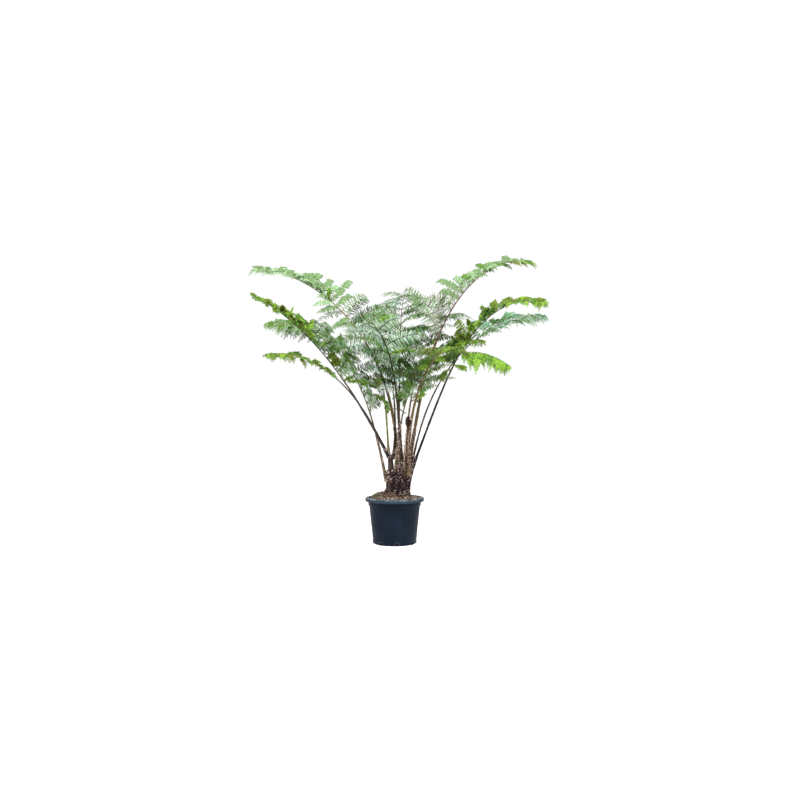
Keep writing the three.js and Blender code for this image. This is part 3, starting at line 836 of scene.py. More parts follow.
def caudex_centre(t):
    return CAUDEX_X + 0.019 * t


def caudex_lobes(turn, t):
    return 1 + 0.05 * np.sin(5 * turn + 2 * t) + 0.03 * np.sin(3 * turn + 1)


print("core radius at foot, waist and crown:", [round(caudex_radius(t), 4) for t in (0, 0.3, 0.8)])

# %% Pull up and roughen the core
CORE_RINGS = 44
shares = [k / CORE_RINGS for k in range(CORE_RINGS + 1)]
rings = [(caudex_radius(t), caudex_height(t)) for t in shares]
rings += [(rings[-1][0] * share, rings[-1][1] + 0.004 * (1 - share)) for share in (0.8, 0.55, 0.3)]
core = pull_rings("caudex_core", rings[0][0], rings[1:], 96, first_z=CUT_Z)
for vertex in core.data.vertices:
    x, y, z = vertex.co
    z += CUT_Z
    t = min(1, (z - CUT_Z) / (CAUDEX_TOP - CUT_Z))
    turn = math.atan2(y, x)
    around = Vector((math.cos(turn) * 3.2, math.sin(turn) * 3.2, z * 6))
    ribs = (0.05 * abs(noise.noise(around)) + 0.05 * noise.noise(Vector((x * 55, y * 55, z * 30)))
            + 0.03 * noise.noise(Vector((x * 150, y * 150, z * 70))))
    scale = caudex_lobes(turn, t) * (0.97 + (ribs if z > CUT_Z + 0.001 else 0))
    vertex.co.x, vertex.co.y = x * scale + caudex_centre(t), CAUDEX_DEEP * y * scale
print("core height:", round(CAUDEX_TOP - CUT_Z, 3), "faces:", len(core.data.polygons))

# %% [markdown]
# The cut bases of old fronds stand on the core like shingles. One base is modelled: a ten-sided
# peg, extruded in steps, curving outwards and thinner to its ragged end, whose face is inset and
# pressed in where the pith has rotted. Then it is copied round the core. Each copy stands a
# golden angle, 137.5 degrees, further round than the last, which is how real fern bases sit.

# %% Model one old frond base
def old_base():
    rings = [(0.0160, 0.020), (0.0152, 0.045), (0.0135, 0.070), (0.0118, 0.092), (0.0090, 0.112)]
    peg = pull_rings("old_base", 0.0150, rings, 10)
    pick(peg)
    bpy.ops.object.mode_set(mode="EDIT")
    bpy.ops.mesh.select_all(action="DESELECT")
    bpy.ops.object.mode_set(mode="OBJECT")
    for face in peg.data.polygons:
        face.select = face.normal.z > 0.9 and face.center.z > 0.1
    bpy.ops.object.mode_set(mode="EDIT")
    bpy.ops.mesh.inset(thickness=0.0022)
    bpy.ops.transform.translate(value=(0, 0, -0.006))
    bpy.ops.mesh.select_all(action="SELECT")
    bpy.ops.transform.resize(value=(1, 0.6, 1), center_override=(0, 0, 0))
    bpy.ops.object.mode_set(mode="OBJECT")
    for vertex in peg.data.vertices:
        vertex.co.y -= 1.2 * vertex.co.z ** 2
        vertex.co += Vector(noise.noise_vector(vertex.co * 110)) * 0.0022
    return peg


peg = old_base()
print("one base has", triangles(peg), "triangles")

# %% Copy it round the core
BASES, GOLDEN = 58, math.radians(137.5)
pegs = []
for k in range(BASES):
    t, turn = 0.02 + 0.62 * k / (BASES - 1), k * GOLDEN
    copy = peg.copy()
    copy.data = peg.data.copy()
    bpy.context.scene.collection.objects.link(copy)
    reach = caudex_radius(t) * caudex_lobes(turn, t) * 0.93
    x, y, z = on_circle(reach, turn, CUT_Z + (CAUDEX_TOP - CUT_Z) * t - 0.010)
    copy.location = (caudex_centre(t) + x, CAUDEX_DEEP * y, z)
    lean, tip, twist = dice.normal(-0.03, 0.06), dice.normal(0, 0.10), dice.normal(0, 0.12)
    copy.rotation_euler = (lean, tip, turn + math.pi / 2 + twist)
    size = dice.uniform(0.7, 1.15)
    copy.scale = (size, size, dice.uniform(0.6, 1.05))
    pegs.append(copy)
bpy.data.objects.remove(peg)
for copy in pegs:
    pick(copy)
    bpy.ops.object.transform_apply(location=True, rotation=True, scale=True)
bases = join_pieces(pegs, "old_frond_bases")
print("bases:", len(pegs), "triangles:", triangles(bases))

# %% [markdown]
# Core and bases share one dark, purplish brown with streaks and a few pale pink flakes. They are
# joined into one piece that stands in for the plain caudex.

# %% Caudex finish
BARK = mottled("shaggy_bark", (6, 3, 5), (23, 14, 17), (64, 45, 48), 100.0, stretch=1.8,
               spread=0.17, roughness=0.9, bump=0.9, depth=0.005, speck=(196, 162, 164),
               speck_scale=170.0, speck_share=0.10, speck_size=0.3)
caudex = join_pieces([paint(core, BARK), paint(bases, BARK)], "shaggy_caudex")
smooth(caudex, 50)
settle(caudex, ["caudex"])
print("caudex triangles:", triangles(caudex))

# %% [markdown]
# Three things stick out of the shag: dark wiry fibres, rusty hairs, and pale dry scales that curl
# off. They are all bent spikes, so the moss helper makes them too. Their feet are spread over
# the core in code, each with the direction that the surface faces there.

# %% Fibres and dry scales
FIBRE = mottled("dark_fibre", (10, 7, 7), (26, 18, 17), (66, 48, 42), 60.0, roughness=0.85)
RUST = mottled("rusty_hair", (52, 34, 28), (88, 62, 50), (130, 98, 80), 60.0, roughness=0.8)
SCALE = mottled("dry_scales", (150, 120, 116), (206, 180, 172), (240, 224, 214), 90.0,
                spread=0.15, roughness=0.75)
ABOVE_MIX = 0.362


def caudex_feet(count, low, high):
    """Places on the shaggy core, and the direction that the surface faces there."""
    t, turn = dice.uniform(low, high, count), dice.uniform(0, 2 * np.pi, count)
    radius = np.array([caudex_radius(v) for v in t])
    reach = radius * caudex_lobes(turn, t) * dice.uniform(0.97, 1.06, count)
    facing = np.stack([np.cos(turn), np.sin(turn), 0 * turn], 1)
    feet = np.stack([caudex_centre(t) + reach * np.cos(turn),
                     CAUDEX_DEEP * reach * np.sin(turn), caudex_height(t)], 1)
    return feet, facing


def tuft(name, count, lengths, outward, upward, thick, material, bend=0.25, flat=1.0, low=0.02):
    """Spikes all round the core that lean out and up by these amounts."""
    feet, facing = caudex_feet(count, low, 0.95)
    way = unit(facing * outward + np.array([0, 0, upward]) + dice.normal(0, 0.45, feet.shape))
    heads = feet + way * dice.uniform(*lengths, (count, 1))
    heads[:, 2] = np.maximum(heads[:, 2], ABOVE_MIX)
    radius = dice.uniform(0.6, 1.2, count) * thick
    return settle(spikes(name, feet - facing * 0.004, heads, radius, material, bend, flat))


shag = [
    tuft("dark_fibres", 1500, (0.010, 0.024), 0.5, 1.0, 0.0012, FIBRE),
    tuft("rusty_hairs", 500, (0.008, 0.020), 0.6, 0.8, 0.0010, RUST),
    tuft("dry_scales", 850, (0.007, 0.015), 0.5, 0.7, 0.0026, SCALE, bend=0.5, flat=0.4, low=0.05),
]
print("shag triangles:", sum(triangles(piece) for piece in shag))

# %% [markdown]
# ## Stems
# A stem and its rib are one tapering limb. The usual way to make one is a curve with a round
# bevel, whose points carry a radius. The points come from the arching line, the curve is turned
# into a mesh, and a little random push along the normals takes away the machined look. Every
# skin is mottled in streaks along the stem, with specks that are darker or paler than it.

# %% A limb along a line
def limb(name, points, radii, resolution, push=0.0, seed=0):
    """A closed round limb through points, each with its own radius."""
    bpy.ops.object.select_all(action="DESELECT")
    bpy.ops.curve.primitive_nurbs_path_add()
    piece = bpy.context.object
    piece.name = name
    curve = piece.data
    curve.splines.clear()
    spline = curve.splines.new("POLY")
    spline.points.add(len(points) - 1)
    for knot, place, radius in zip(spline.points, points, radii):
        knot.co, knot.radius = (*place, 1), radius
    curve.dimensions, curve.bevel_depth, curve.bevel_resolution = "3D", 1.0, resolution
    curve.use_fill_caps = True
    bpy.ops.object.convert(target="MESH")
    piece = bpy.context.object
    bpy.ops.object.mode_set(mode="EDIT")
    bpy.ops.mesh.select_all(action="SELECT")
    bpy.ops.mesh.remove_doubles(threshold=1e-6)
    bpy.ops.mesh.normals_make_consistent(inside=False)
    if push:
        bpy.ops.transform.vertex_random(offset=push, uniform=0, normal=1, seed=seed)
    bpy.ops.object.mode_set(mode="OBJECT")
    return piece


print("limb helper ready")

# %% Skins of stems and ribs
# Dark, middle and light colour, scale, stretch, spread, roughness, bump and depth of the
# mottling, and then the colour, scale, share and size of the specks.
SKIN_ROWS = {
    "olive brown": ("olive_brown_stem", (34, 28, 16), (78, 66, 40), (124, 108, 70), 90.0, 2.2, 0.2,
                    0.6, 0.4, 0.0015, (24, 17, 13), 190.0, 0.34, 0.34),
    "spotted brown": ("spotted_brown_stem", (36, 26, 17), (84, 67, 43), (138, 116, 80), 80.0, 2.4,
                      0.2, 0.6, 0.4, 0.0015, (20, 13, 10), 170.0, 0.45, 0.36),
    "red brown": ("red_brown_stem", (24, 15, 13), (54, 38, 32), (98, 74, 60), 90.0, 2.2, 0.2,
                  0.55, 0.4, 0.0015, (196, 174, 152), 210.0, 0.16, 0.3),
    "black": ("black_stem", (7, 6, 7), (18, 15, 15), (44, 38, 34), 90.0, 2.2, 0.22,
              0.4, 0.25, 0.001, (84, 74, 64), 260.0, 0.10, 0.25),
    "dark purple": ("dark_purple_stem", (26, 18, 20), (52, 38, 38), (90, 70, 64), 90.0, 2.2, 0.2,
                    0.5, 0.3, 0.001, (14, 10, 10), 200.0, 0.3, 0.3),
    "dark brown": ("dark_brown_stem", (12, 9, 6), (32, 24, 15), (66, 52, 32), 90.0, 2.2, 0.2,
                   0.55, 0.4, 0.0015, (146, 122, 94), 220.0, 0.10, 0.3),
    "olive green": ("olive_green_stem", (52, 54, 26), (90, 90, 46), (138, 132, 80), 90.0, 2.2, 0.2,
                    0.5, 0.3, 0.001, (48, 34, 22), 190.0, 0.3, 0.34),
    "fresh green": ("fresh_green_rib", (48, 66, 24), (82, 104, 42), (124, 142, 74), 70.0, 1.5, 0.2,
                    0.5, 0.25, 0.001, (58, 46, 28), 240.0, 0.12, 0.3),
    "plum": ("plum_rib", (58, 40, 42), (96, 72, 70), (140, 112, 102), 70.0, 1.5, 0.2,
             0.5, 0.25, 0.001, (40, 26, 26), 240.0, 0.2, 0.3),
    "dark green": ("dark_green_rib", (16, 20, 10), (32, 40, 18), (62, 72, 36), 70.0, 1.5, 0.2,
                   0.5, 0.25, 0.001, (90, 94, 60), 240.0, 0.1, 0.3),
}
SKINS = {label: mottled(*row) for label, row in SKIN_ROWS.items()}
print("skins:", sorted(SKINS))

# %% [markdown]
# The stems stop where the blades begin, because that is where the solids change over. A stem is
# swollen at its foot, loses two fifths of its thickness on the way to the blade, and is never
# quite even.

# %% Grow the stems
def stem_radius(frond, s):
    """Radius in metres at a length s along the stem in millimetres."""
    return frond["stem"] * MM * (1 - 0.42 * s / frond["start"]) * (1 + 0.8 * np.exp(-s / 110))


stem_pieces = []
for number, (name, frond) in enumerate(FRONDS.items()):
    s = np.linspace(0, frond["start"] + 4, 56)
    points = follow(frond, s)[0]
    wave = 1 + 0.05 * np.sin(s / 23 + number) + 0.04 * np.sin(s / 9.1 + 2 * number)
    stem = limb("stem_skin_" + name, points, stem_radius(frond, s) * wave, 5, 0.0005, number)
    smooth(paint(stem, SKINS[frond["skin"]]), 60)
    solids = [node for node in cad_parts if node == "stem_" + name]
    stem_pieces.append(settle(stem, solids))
print("stems:", len(stem_pieces), "triangles:", sum(triangles(piece) for piece in stem_pieces))

# %% [markdown]
# The feet of the stems are as shaggy as the caudex: dark hairs sit on the lowest 36 centimetres
# and pale scales on the lowest 40, and both thin out upwards. Black and purple stems are smoother
# and carry a third of them, and stems that rise from the top of the stump a fifth. The hairs'
# feet are spread along the stems by the same arching lines.

# %% Hairs on the feet of the stems
HAIRS, HAIR_REACH, SCALES, SCALE_REACH = 420, 360, 280, 400


def skin_places(line, s):
    """Places on a line, a random way straight out of it at each, and the way ahead."""
    points, ahead, side, up = follow(line, s)
    turn = dice.uniform(0, 2 * np.pi, (len(s), 1))
    return points, np.cos(turn) * side + np.sin(turn) * up, ahead


def shagginess(frond):
    if frond["base"][2] > 600:
        return 0.2
    return 0.35 if frond["skin"] in ("black", "dark purple") else 1


def stem_tufts(frond, count, reach, length, lean):
    """Feet and heads of hairs that thin out upwards on a stem and lean up along it."""
    s = reach * dice.uniform(0, 1, count) ** 1.2
    points, facing, ahead = skin_places(frond, s)
    feet = points + facing * stem_radius(frond, s)[:, None] * 0.9
    way = unit(facing + ahead * lean + dice.normal(0, 0.4, feet.shape))
    return feet, feet + way * length * dice.uniform(0.5, 1.3, (count, 1))


hair_ends, scale_ends = [], []
for name, frond in FRONDS.items():
    if name not in SIDE_FRONDS:
        share = shagginess(frond)
        hair_ends.append(stem_tufts(frond, int(HAIRS * share), HAIR_REACH * share, 0.014, 1.0))
        scale_ends.append(stem_tufts(frond, int(SCALES * share), SCALE_REACH * share, 0.009, 0.3))
feet, heads = (np.vstack(ends) for ends in zip(*hair_ends))
hairs = spikes("stem_hairs", feet, heads, dice.uniform(0.0005, 0.0009, len(feet)), FIBRE)
feet, heads = (np.vstack(ends) for ends in zip(*scale_ends))
flakes = spikes("stem_scales", feet, heads, dice.uniform(0.0020, 0.0040, len(feet)), SCALE,
                bend=0.5, flat=0.35)
for piece in (hairs, flakes):
    settle(piece)
print("hairs:", triangles(hairs), "scales:", triangles(flakes))

# %% [markdown]
# ## The old stump and the cut stipe
# At the left a bundle of fused bases stands on the caudex, smooth, upright and broken off at the
# top. It is pulled up in rings, fluted in code, and gets a crown of torn fibres.

# %% Pull up the stump
STUMP_X, STUMP_Y, STUMP_LOW, STUMP_TOP = -0.026, -0.014, 0.500, 0.668


def stump_radius(t):
    return 0.025 - 0.008 * t - (0.003 if t > 0.97 else 0)


stump_rings = [(stump_radius(k / 24), STUMP_LOW + (STUMP_TOP - STUMP_LOW) * k / 24) for k in range(1, 25)]
stump = pull_rings("old_stump", stump_radius(0), stump_rings, 48, first_z=STUMP_LOW)
for vertex in stump.data.vertices:
    x, y, z = vertex.co
    t, turn = z / (STUMP_TOP - STUMP_LOW), math.atan2(y, x)
    flutes = (1 + 0.09 * math.sin(4 * turn + 1) + 0.05 * math.sin(9 * turn + 3 * t)
              + 0.05 * noise.noise(Vector((x * 90, y * 90, z * 14))))
    vertex.co.x = STUMP_X - 0.007 * t + x * flutes
    vertex.co.y = STUMP_Y + 1.15 * y * flutes
    if t > 0.9:
        vertex.co.z += 0.006 * noise.noise(Vector((x * 160, y * 160, 1)))
STUMP_SKIN = mottled("weathered_stump", (24, 18, 16), (56, 45, 40), (100, 85, 76), 120.0, 2.6,
                     roughness=0.8, bump=0.7, depth=0.003, speck=(22, 16, 14), speck_share=0.16)
smooth(paint(stump, STUMP_SKIN), 50)
settle(stump, ["left_stump"])
print("stump triangles:", triangles(stump))

# %% Crown it with torn fibres
TORN = 170
turn = dice.uniform(0, 2 * np.pi, TORN)
circle = np.stack([np.cos(turn), np.sin(turn), 0 * turn], 1)
feet = circle * [0.016, 0.018, 0] + [STUMP_X - 0.007, STUMP_Y, STUMP_TOP - 0.010]
rise = dice.uniform(0.008, 0.020, TORN)[:, None] * [0, 0, 1]
torn = spikes("stump_fibres", feet, feet + circle * 0.012 + rise,
              dice.uniform(0.0006, 0.0013, TORN), RUST, 0.3)
settle(torn)
print("torn fibres:", triangles(torn), "triangles")

# %% [markdown]
# One old stipe was cut off long ago. It is a limb like the stems, and its end is a swollen knot
# of dark fibre. The knot is the same limb with a bulge in its radii, which are given at a few
# places and filled in between, and its faces get a second, rougher finish.

# %% The cut stipe
STIPE = {"base": (78, -84, 505), "az": 320, "sweep": 0, "lean": 4, "tip": 6, "power": 1,
         "length": 462}
KNOT = 74
SHAFT = STIPE["length"] - KNOT
bulge_at = [0, 0.4 * SHAFT, SHAFT - 0.1 * KNOT]
bulge_at += [SHAFT + u * KNOT for u in (0.15, 0.35, 0.6, 0.8, 0.92, 1.0)]
stipe_s = np.linspace(0, STIPE["length"], 80)
stipe_r = np.interp(stipe_s, bulge_at, [14, 13, 13, 16, 20, 21, 19, 14, 7]) * MM
stipe_r *= 1 + 0.06 * np.sin(stipe_s / 7) * (stipe_s > SHAFT)
stipe = limb("cut_stipe_skin", follow(STIPE, stipe_s)[0], stipe_r, 6, 0.0012, 5)
STIPE_SKIN = mottled("split_stipe", (16, 11, 8), (44, 31, 22), (90, 66, 46), 60.0, 3.2, 0.15,
                     0.8, 0.6, 0.002, (34, 22, 18), 150.0, 0.2, 0.32)
KNOT_SKIN = mottled("fibrous_knot", (8, 5, 4), (30, 19, 13), (84, 60, 40), 120.0, 1.0, 0.16,
                    0.9, 0.9, 0.006)
paint(stipe, STIPE_SKIN, KNOT_SKIN)
knot_z = follow(STIPE, SHAFT)[0][0][2]
for face in stipe.data.polygons:
    face.material_index = int(face.center.z > knot_z)
smooth(stipe, 60)
settle(stipe, ["cut_stipe"])
print("stipe triangles:", triangles(stipe))

# %% [markdown]
# Torn fibres cover the knot and hide its outline. Fewer hairs and scales sit on the shaft.

# %% Fibres on the knot, hairs on the shaft
FIBRES = 520
s = SHAFT + KNOT * dice.uniform(0, 1, FIBRES)
points, facing, ahead = skin_places(STIPE, s)
feet = points + facing * 0.9 * np.interp(s, stipe_s, stipe_r)[:, None]
way = unit(facing + ahead * 0.8 + dice.normal(0, 0.5, feet.shape))
heads = feet + way * dice.uniform(0.006, 0.014, (FIBRES, 1))
settle(spikes("knot_fibres", feet, heads, dice.uniform(0.0006, 0.0012, FIBRES), FIBRE, 0.3))
for label, count, reach, skin in (("stipe_hairs", 360, 0.012, FIBRE),
                                  ("stipe_scales", 200, 0.008, SCALE)):
    points, facing, ahead = skin_places(STIPE, 330 * dice.uniform(0, 1, count))
    way = unit(facing + ahead * 0.6) * reach * dice.uniform(0.4, 1.2, (count, 1))
    hairs = spikes(label, points + facing * 0.012, points + facing * 0.013 + way,
                   dice.uniform(0.0007, 0.0016, count), skin, 0.4)
    settle(hairs)
    print(label, triangles(hairs), "triangles")

# %% [markdown]
# The skin of the shaft has split twice, which bares two pale strips of wood. They are thin limbs
# sunk into its front, thickest in their middle. A pale ring of dry pith stands beside the knot:
# a path that goes nine tenths of the way round, swept as a limb too.

# %% Splits and the ring of pith
ring_turn = np.linspace(0, 1.8 * np.pi, 16)
ring_place = follow(STIPE, STIPE["length"] - 8)[0][0] + [0.018, -0.016, 0]
ring_path = ring_place + 0.0105 * np.stack([np.cos(ring_turn), 0.3 * np.sin(ring_turn),
                                            np.sin(ring_turn)], 1)
pith = limb("dry_pith_ring", ring_path, np.full(16, 0.0024), 3, 0.0003, 2)
settle(smooth(paint(pith, SCALE), 60))

SPLIT_SKIN = mottled("bare_split_wood", (116, 92, 74), (176, 152, 128), (214, 194, 172), 90.0,
                     3.0, 0.2, 0.8, 0.4)
splits = []
for low, high, aside, thick in ((60, 376, -0.0115, 2.6), (190, 372, 0.01035, 1.9)):
    s = np.linspace(low, high, 24)
    path = follow(STIPE, s)[0] + np.array([aside, -0.0095, 0])
    path[:, 0] += 0.002 * np.sin(s / 26)
    radii = thick * MM * np.sin(np.pi * np.linspace(0.08, 0.92, 24)) ** 0.4
    splits.append(smooth(paint(limb("split", path, radii, 2, 0.0004, 7), SPLIT_SKIN), 60))
settle(join_pieces(splits, "bare_splits"))
print("pith ring:", triangles(pith), "triangles, splits:", len(splits))

# %% [markdown]
# ## Odds and ends between the stems
# The stump goes down in front of the caudex as a smooth column, and a rusty old base bulges at
# the foot beside it. A dead tendril crosses between the stems, and halfway up, two stout stems
# touch in a tuft of black bristles.

# %% Column, bulge, tendril and tuft
def odd_piece(name, places, radii, skin, resolution=3, push=0.0):
    """A small limb through a few places in millimetres, with its bends rounded off."""
    knots = np.linspace(0, 1, len(places))
    u = np.linspace(0, 1, 6 * len(places))
    path = np.stack([np.interp(u, knots, np.array(places, float)[:, k]) for k in range(3)], 1)
    for _ in range(6):
        path[1:-1] = (path[:-2] + 2 * path[1:-1] + path[2:]) / 4
    piece = limb(name, path * MM, np.interp(u, knots, radii) * MM, resolution, push, 11)
    return settle(smooth(paint(piece, skin), 60))


RUSTY = mottled("rusty_old_base", (20, 15, 11), (54, 43, 31), (98, 80, 60), 90.0, 1.4, 0.2, 0.85,
                0.6, 0.002)
COLUMN = [(-36, -58, 392), (-34, -62, 440), (-32, -52, 500), (-30, -32, 560), (-31, -24, 600)]
odd_piece("stump_column", COLUMN, [14, 18, 18, 18, 12], STUMP_SKIN, 5, 0.0006)
BULGE = [(-54, -34, 358), (-63, -40, 382), (-62, -42, 404), (-50, -40, 422)]
odd_piece("foot_bulge", BULGE, [14, 17, 16, 9], RUSTY, 5, 0.0012)
TENDRIL = [(-56, -70, 1002), (-37, -82, 1019), (-10, -88, 1029), (14, -90, 1024), (34, -88, 1029),
           (62, -82, 1006), (74, -74, 993), (90, -66, 998)]
odd_piece("dead_tendril", TENDRIL, [2.0, 3.6, 4.0, 3.4, 4.0, 3.8, 4.2, 1.8], SKINS["olive brown"])
BRISTLES = 260
centre = follow(FRONDS["upper_right"], 680)[0][0] + np.array([-0.012, -0.045, 0.0])
feet = centre + dice.normal(0, 1, (BRISTLES, 3)) * [0.010, 0.008, 0.017]
way = unit(feet - centre + [0, 0, 0.004])
heads = feet + way * dice.uniform(0.008, 0.020, (BRISTLES, 1))
bristles = spikes("black_tuft", feet, heads, dice.uniform(0.0008, 0.0016, BRISTLES), SKINS["black"],
                  0.3)
settle(bristles)
print("bristles:", triangles(bristles), "triangles")

# %% [markdown]
# ## Leaf greens
# The blades are twice divided: a rib carries pinnae, and each pinna is a comb of narrow leaflets.
# The upper face of a leaflet is green and the lower one is silvery, so fronds that arch towards
# you look pale and those that arch away look green. Each leaflet is a closed sliver, so both
# faces have their own material. These are plain colours, dealt out by the pinna, which keeps
# them exact in any program: it is the mixture that makes the blade look alive.

# %% The greens
# The two darkest greens stand in for shade. Painted deep shade is painted shade on both faces of leaflets
# inside the crown. Shade green is partly the dark green of real upper faces and partly painted shade,
# mostly on lower faces.
LEAF_COLOURS = {
    "painted deep shade": (38, 62, 19), "shade green": (50, 84, 26), "fern green": (82, 122, 42),
    "olive": (96, 116, 34), "dead olive": (96, 98, 58), "ash": (158, 164, 142),
    "spring": (118, 156, 50), "lime": (134, 176, 72), "sea green": (92, 146, 104),
    "grey green": (110, 140, 92), "sage": (142, 172, 128), "pale olive": (146, 168, 96),
    "mint": (182, 212, 182), "silver mint": (216, 234, 220), "teal": (108, 162, 134),
}
LEAF_NAMES = list(LEAF_COLOURS)
LEAVES = []
for label, tint in LEAF_COLOURS.items():
    leaf, shader, _ = new_material("leaf_" + label.replace(" ", "_"), 0.55, 0.15)
    fill(shader, {"Base Color": colour(*tint)})
    LEAVES.append(leaf)

print("greens:", len(LEAVES))

# %% [markdown]
# A look is a mixture: how many shares of each green the upper faces get, and then the lower ones.
# A comb says how a pinna of that look is set with leaflets. Silvery fronds have long fine ones,
# far apart, and green ones short broad ones that nearly close up.

# %% Looks and combs
LOOKS = {
    "silvery": ({"sea green": 3, "grey green": 3, "fern green": 1, "shade green": 3},
                {"silver mint": 4, "mint": 3, "sage": 2, "teal": 2, "shade green": 2}),
    "fine silvery": ({"sea green": 4, "grey green": 2, "painted deep shade": 3, "sage": 1},
                     {"silver mint": 6, "mint": 3, "sage": 2, "teal": 1, "painted deep shade": 2}),
    "sagey": ({"grey green": 4, "sea green": 2, "fern green": 2, "painted deep shade": 1},
              {"sage": 4, "mint": 2, "grey green": 3, "fern green": 2, "painted deep shade": 1}),
    "minty": ({"grey green": 7, "sage": 3}, {"sage": 4, "grey green": 6}),
    "grey": ({"grey green": 3, "ash": 3, "shade green": 2, "sage": 2},
             {"sage": 3, "ash": 6, "grey green": 2, "shade green": 2}),
    "crest": ({"grey green": 5, "sage": 3, "fern green": 1},
              {"sage": 4, "grey green": 4, "ash": 1, "mint": 1, "fern green": 1}),
    "dusky": ({"fern green": 3, "grey green": 3, "shade green": 1},
              {"sage": 4, "grey green": 3, "fern green": 3}),
    "teal": ({"sea green": 3, "grey green": 3, "shade green": 2},
             {"teal": 4, "mint": 4, "silver mint": 2, "shade green": 1}),
    "green": ({"fern green": 3, "shade green": 2, "painted deep shade": 1, "grey green": 3},
              {"sage": 4, "silver mint": 1, "mint": 2, "grey green": 2, "fern green": 2,
               "painted deep shade": 2}),
    # The shady look is painted shade: its dark greens stand for the shadow on fronds at the back and in
    # the middle of the crown.
    "shady": ({"painted deep shade": 4, "shade green": 3, "fern green": 3, "grey green": 1},
              {"shade green": 3, "painted deep shade": 4, "grey green": 2, "sage": 1, "fern green": 3}),
    "mixed": ({"painted deep shade": 4, "olive": 4, "fern green": 2, "grey green": 1, "spring": 1},
              {"painted deep shade": 4, "olive": 4, "fern green": 3, "sage": 1, "pale olive": 1}),
    "olive": ({"olive": 5, "fern green": 3, "shade green": 1, "spring": 2},
              {"olive": 4, "fern green": 2, "pale olive": 3, "spring": 2, "shade green": 1}),
    "leafy": ({"spring": 3, "fern green": 3, "olive": 4},
              {"spring": 3, "fern green": 3, "pale olive": 3, "sage": 1, "olive": 3}),
    "lush": ({"spring": 6, "fern green": 3, "lime": 1, "olive": 1},
             {"spring": 6, "fern green": 3, "lime": 2, "olive": 1}),
    "wilted": ({"dead olive": 4, "olive": 1}, {"dead olive": 5, "olive": 1}),
    "lime": ({"spring": 5, "fern green": 4},
             {"lime": 1, "spring": 4, "pale olive": 1, "fern green": 4}),
}
# The gap between leaflets, their breadth as a part of their length, and the longest of them.
COMBS = {
    "silvery": (16.0, 0.120, 74), "fine silvery": (14.5, 0.125, 62), "sagey": (15.0, 0.15, 56),
    "minty": (8.5, 0.32, 40), "grey": (17.0, 0.115, 76), "crest": (9.0, 0.32, 38),
    "dusky": (9.0, 0.32, 36), "teal": (10.5, 0.23, 40), "green": (13.5, 0.17, 54),
    "shady": (11.5, 0.22, 46), "mixed": (11.0, 0.25, 44), "olive": (8.5, 0.36, 40),
    "leafy": (8.5, 0.38, 42), "lime": (8.0, 0.40, 42), "lush": (8.5, 0.40, 44),
    "wilted": (7.0, 0.40, 36),
}
print("looks:", sorted(LOOKS))

# %% [markdown]
# ## One leaflet
# A leaflet is a narrow sliver, widest before its middle, with a raised midrib. Five cross rows
# of three points and a tip make 28 triangles. Length runs along x, width along y, and the midrib
# stands up in z. All numbers are shares, so that every copy can have its own size.

# %% The leaflet shape
ROW_X = np.array([0.0, 0.13, 0.36, 0.62, 0.85])
ROW_W = np.array([0.12, 0.44, 0.50, 0.38, 0.20])
rows = [((x, -w, 0), (x, 0, 1), (x, w, 0)) for x, w in zip(ROW_X, ROW_W)]
LEAF_SHAPE = np.array([point for row in rows for point in row] + [(1, 0, 0.2)])
upper, lower = [], [(0, 1, 2)]
for k in range(4):
    l0, m0, r0, l1, m1, r1 = range(3 * k, 3 * k + 6)
    upper += [(l0, l1, m1), (l0, m1, m0), (m0, m1, r1), (m0, r1, r0)]
    lower += [(l0, r1, l1), (l0, r0, r1)]
upper += [(12, 15, 13), (13, 15, 14)]
lower += [(12, 14, 15)]
LEAF_FACES = np.array(upper + lower)
LEAF_IS_LOWER = np.array([0] * len(upper) + [1] * len(lower))
print("leaflet triangles:", len(LEAF_FACES))

# %% [markdown]
# ## Growing a blade
# The rule is the same for every frond. Pairs of pinnae leave the rib, a step of 3 to 13
# centimetres apart and closer towards the tip. A pinna is as long as the blade is wide there. It
# rises from the rib, arches over and droops, so the blade is folded like a shallow V. Seeded
# random numbers make each pinna a little longer, lower or further forward than its neighbour,
# and leave a few out. Some fronds break the rule in their own way, so a few small tables name
# them: how wide the blade still is at its tip, where its outer look takes over, how far the
# pinnae at its foot open downwards or lean ahead, and how many are lobes: short, broad and dense
# pinnae in one fresh green, whatever their frond looks like.

# %% Fronds that break the rule
TIPS = {"upper_left": 40, "upper_right": 36, "mid_right": 26, "low_right": 26, "far_left": 36,
        "low_left": 10}
TURNS = {"upper_right": (0.30, 0.10), "upper_left": (0.2, 0.2), "far_left": (0.3, 0.3)}
LOOK_BELOW = {"upper_right": "olive", "mid_left": "olive"}
OPEN_FEET = {"upper_left": 2.8}
LEAN_ON = {"upper_right": 0.8}
LOBE_SHARES = {"mid_left": 0.42, "mid_right": 0.30, "far_left": 0.10, "front_left": 0.10,
               "front_right": 0.32, "low_centre": 0.35, "young_centre": 0.08}
LOBE_HALF, LOBE_FOLD, LOBE_COMB = 0.095, 1.25, (8.0, 0.42, 44)
LOBE_GREENS = {"fern green": 5, "spring": 4, "olive": 2}
print("fronds with lobes:", sorted(LOBE_SHARES))

# %% [markdown]
# A pinna is a parabola: foot, straight part and bend give every place on it. All pinnae of a
# frond are worked out at once, as arrays. Side is +1 or -1 for the two rows of them, and t is
# the share of the blade's length at which each one sits.

# %% Lay out the pinnae of a frond
def half_width(frond, t):
    """Half of the blade's width in millimetres, at a share t of its length."""
    tip = min(TIPS.get(frond["name"], 16), 0.4 * frond["half"])
    opening = np.minimum(1, (t + 0.03) / 0.15) ** 0.6
    return tip + (frond["half"] - tip) * opening * (1 - t ** frond["taper"])


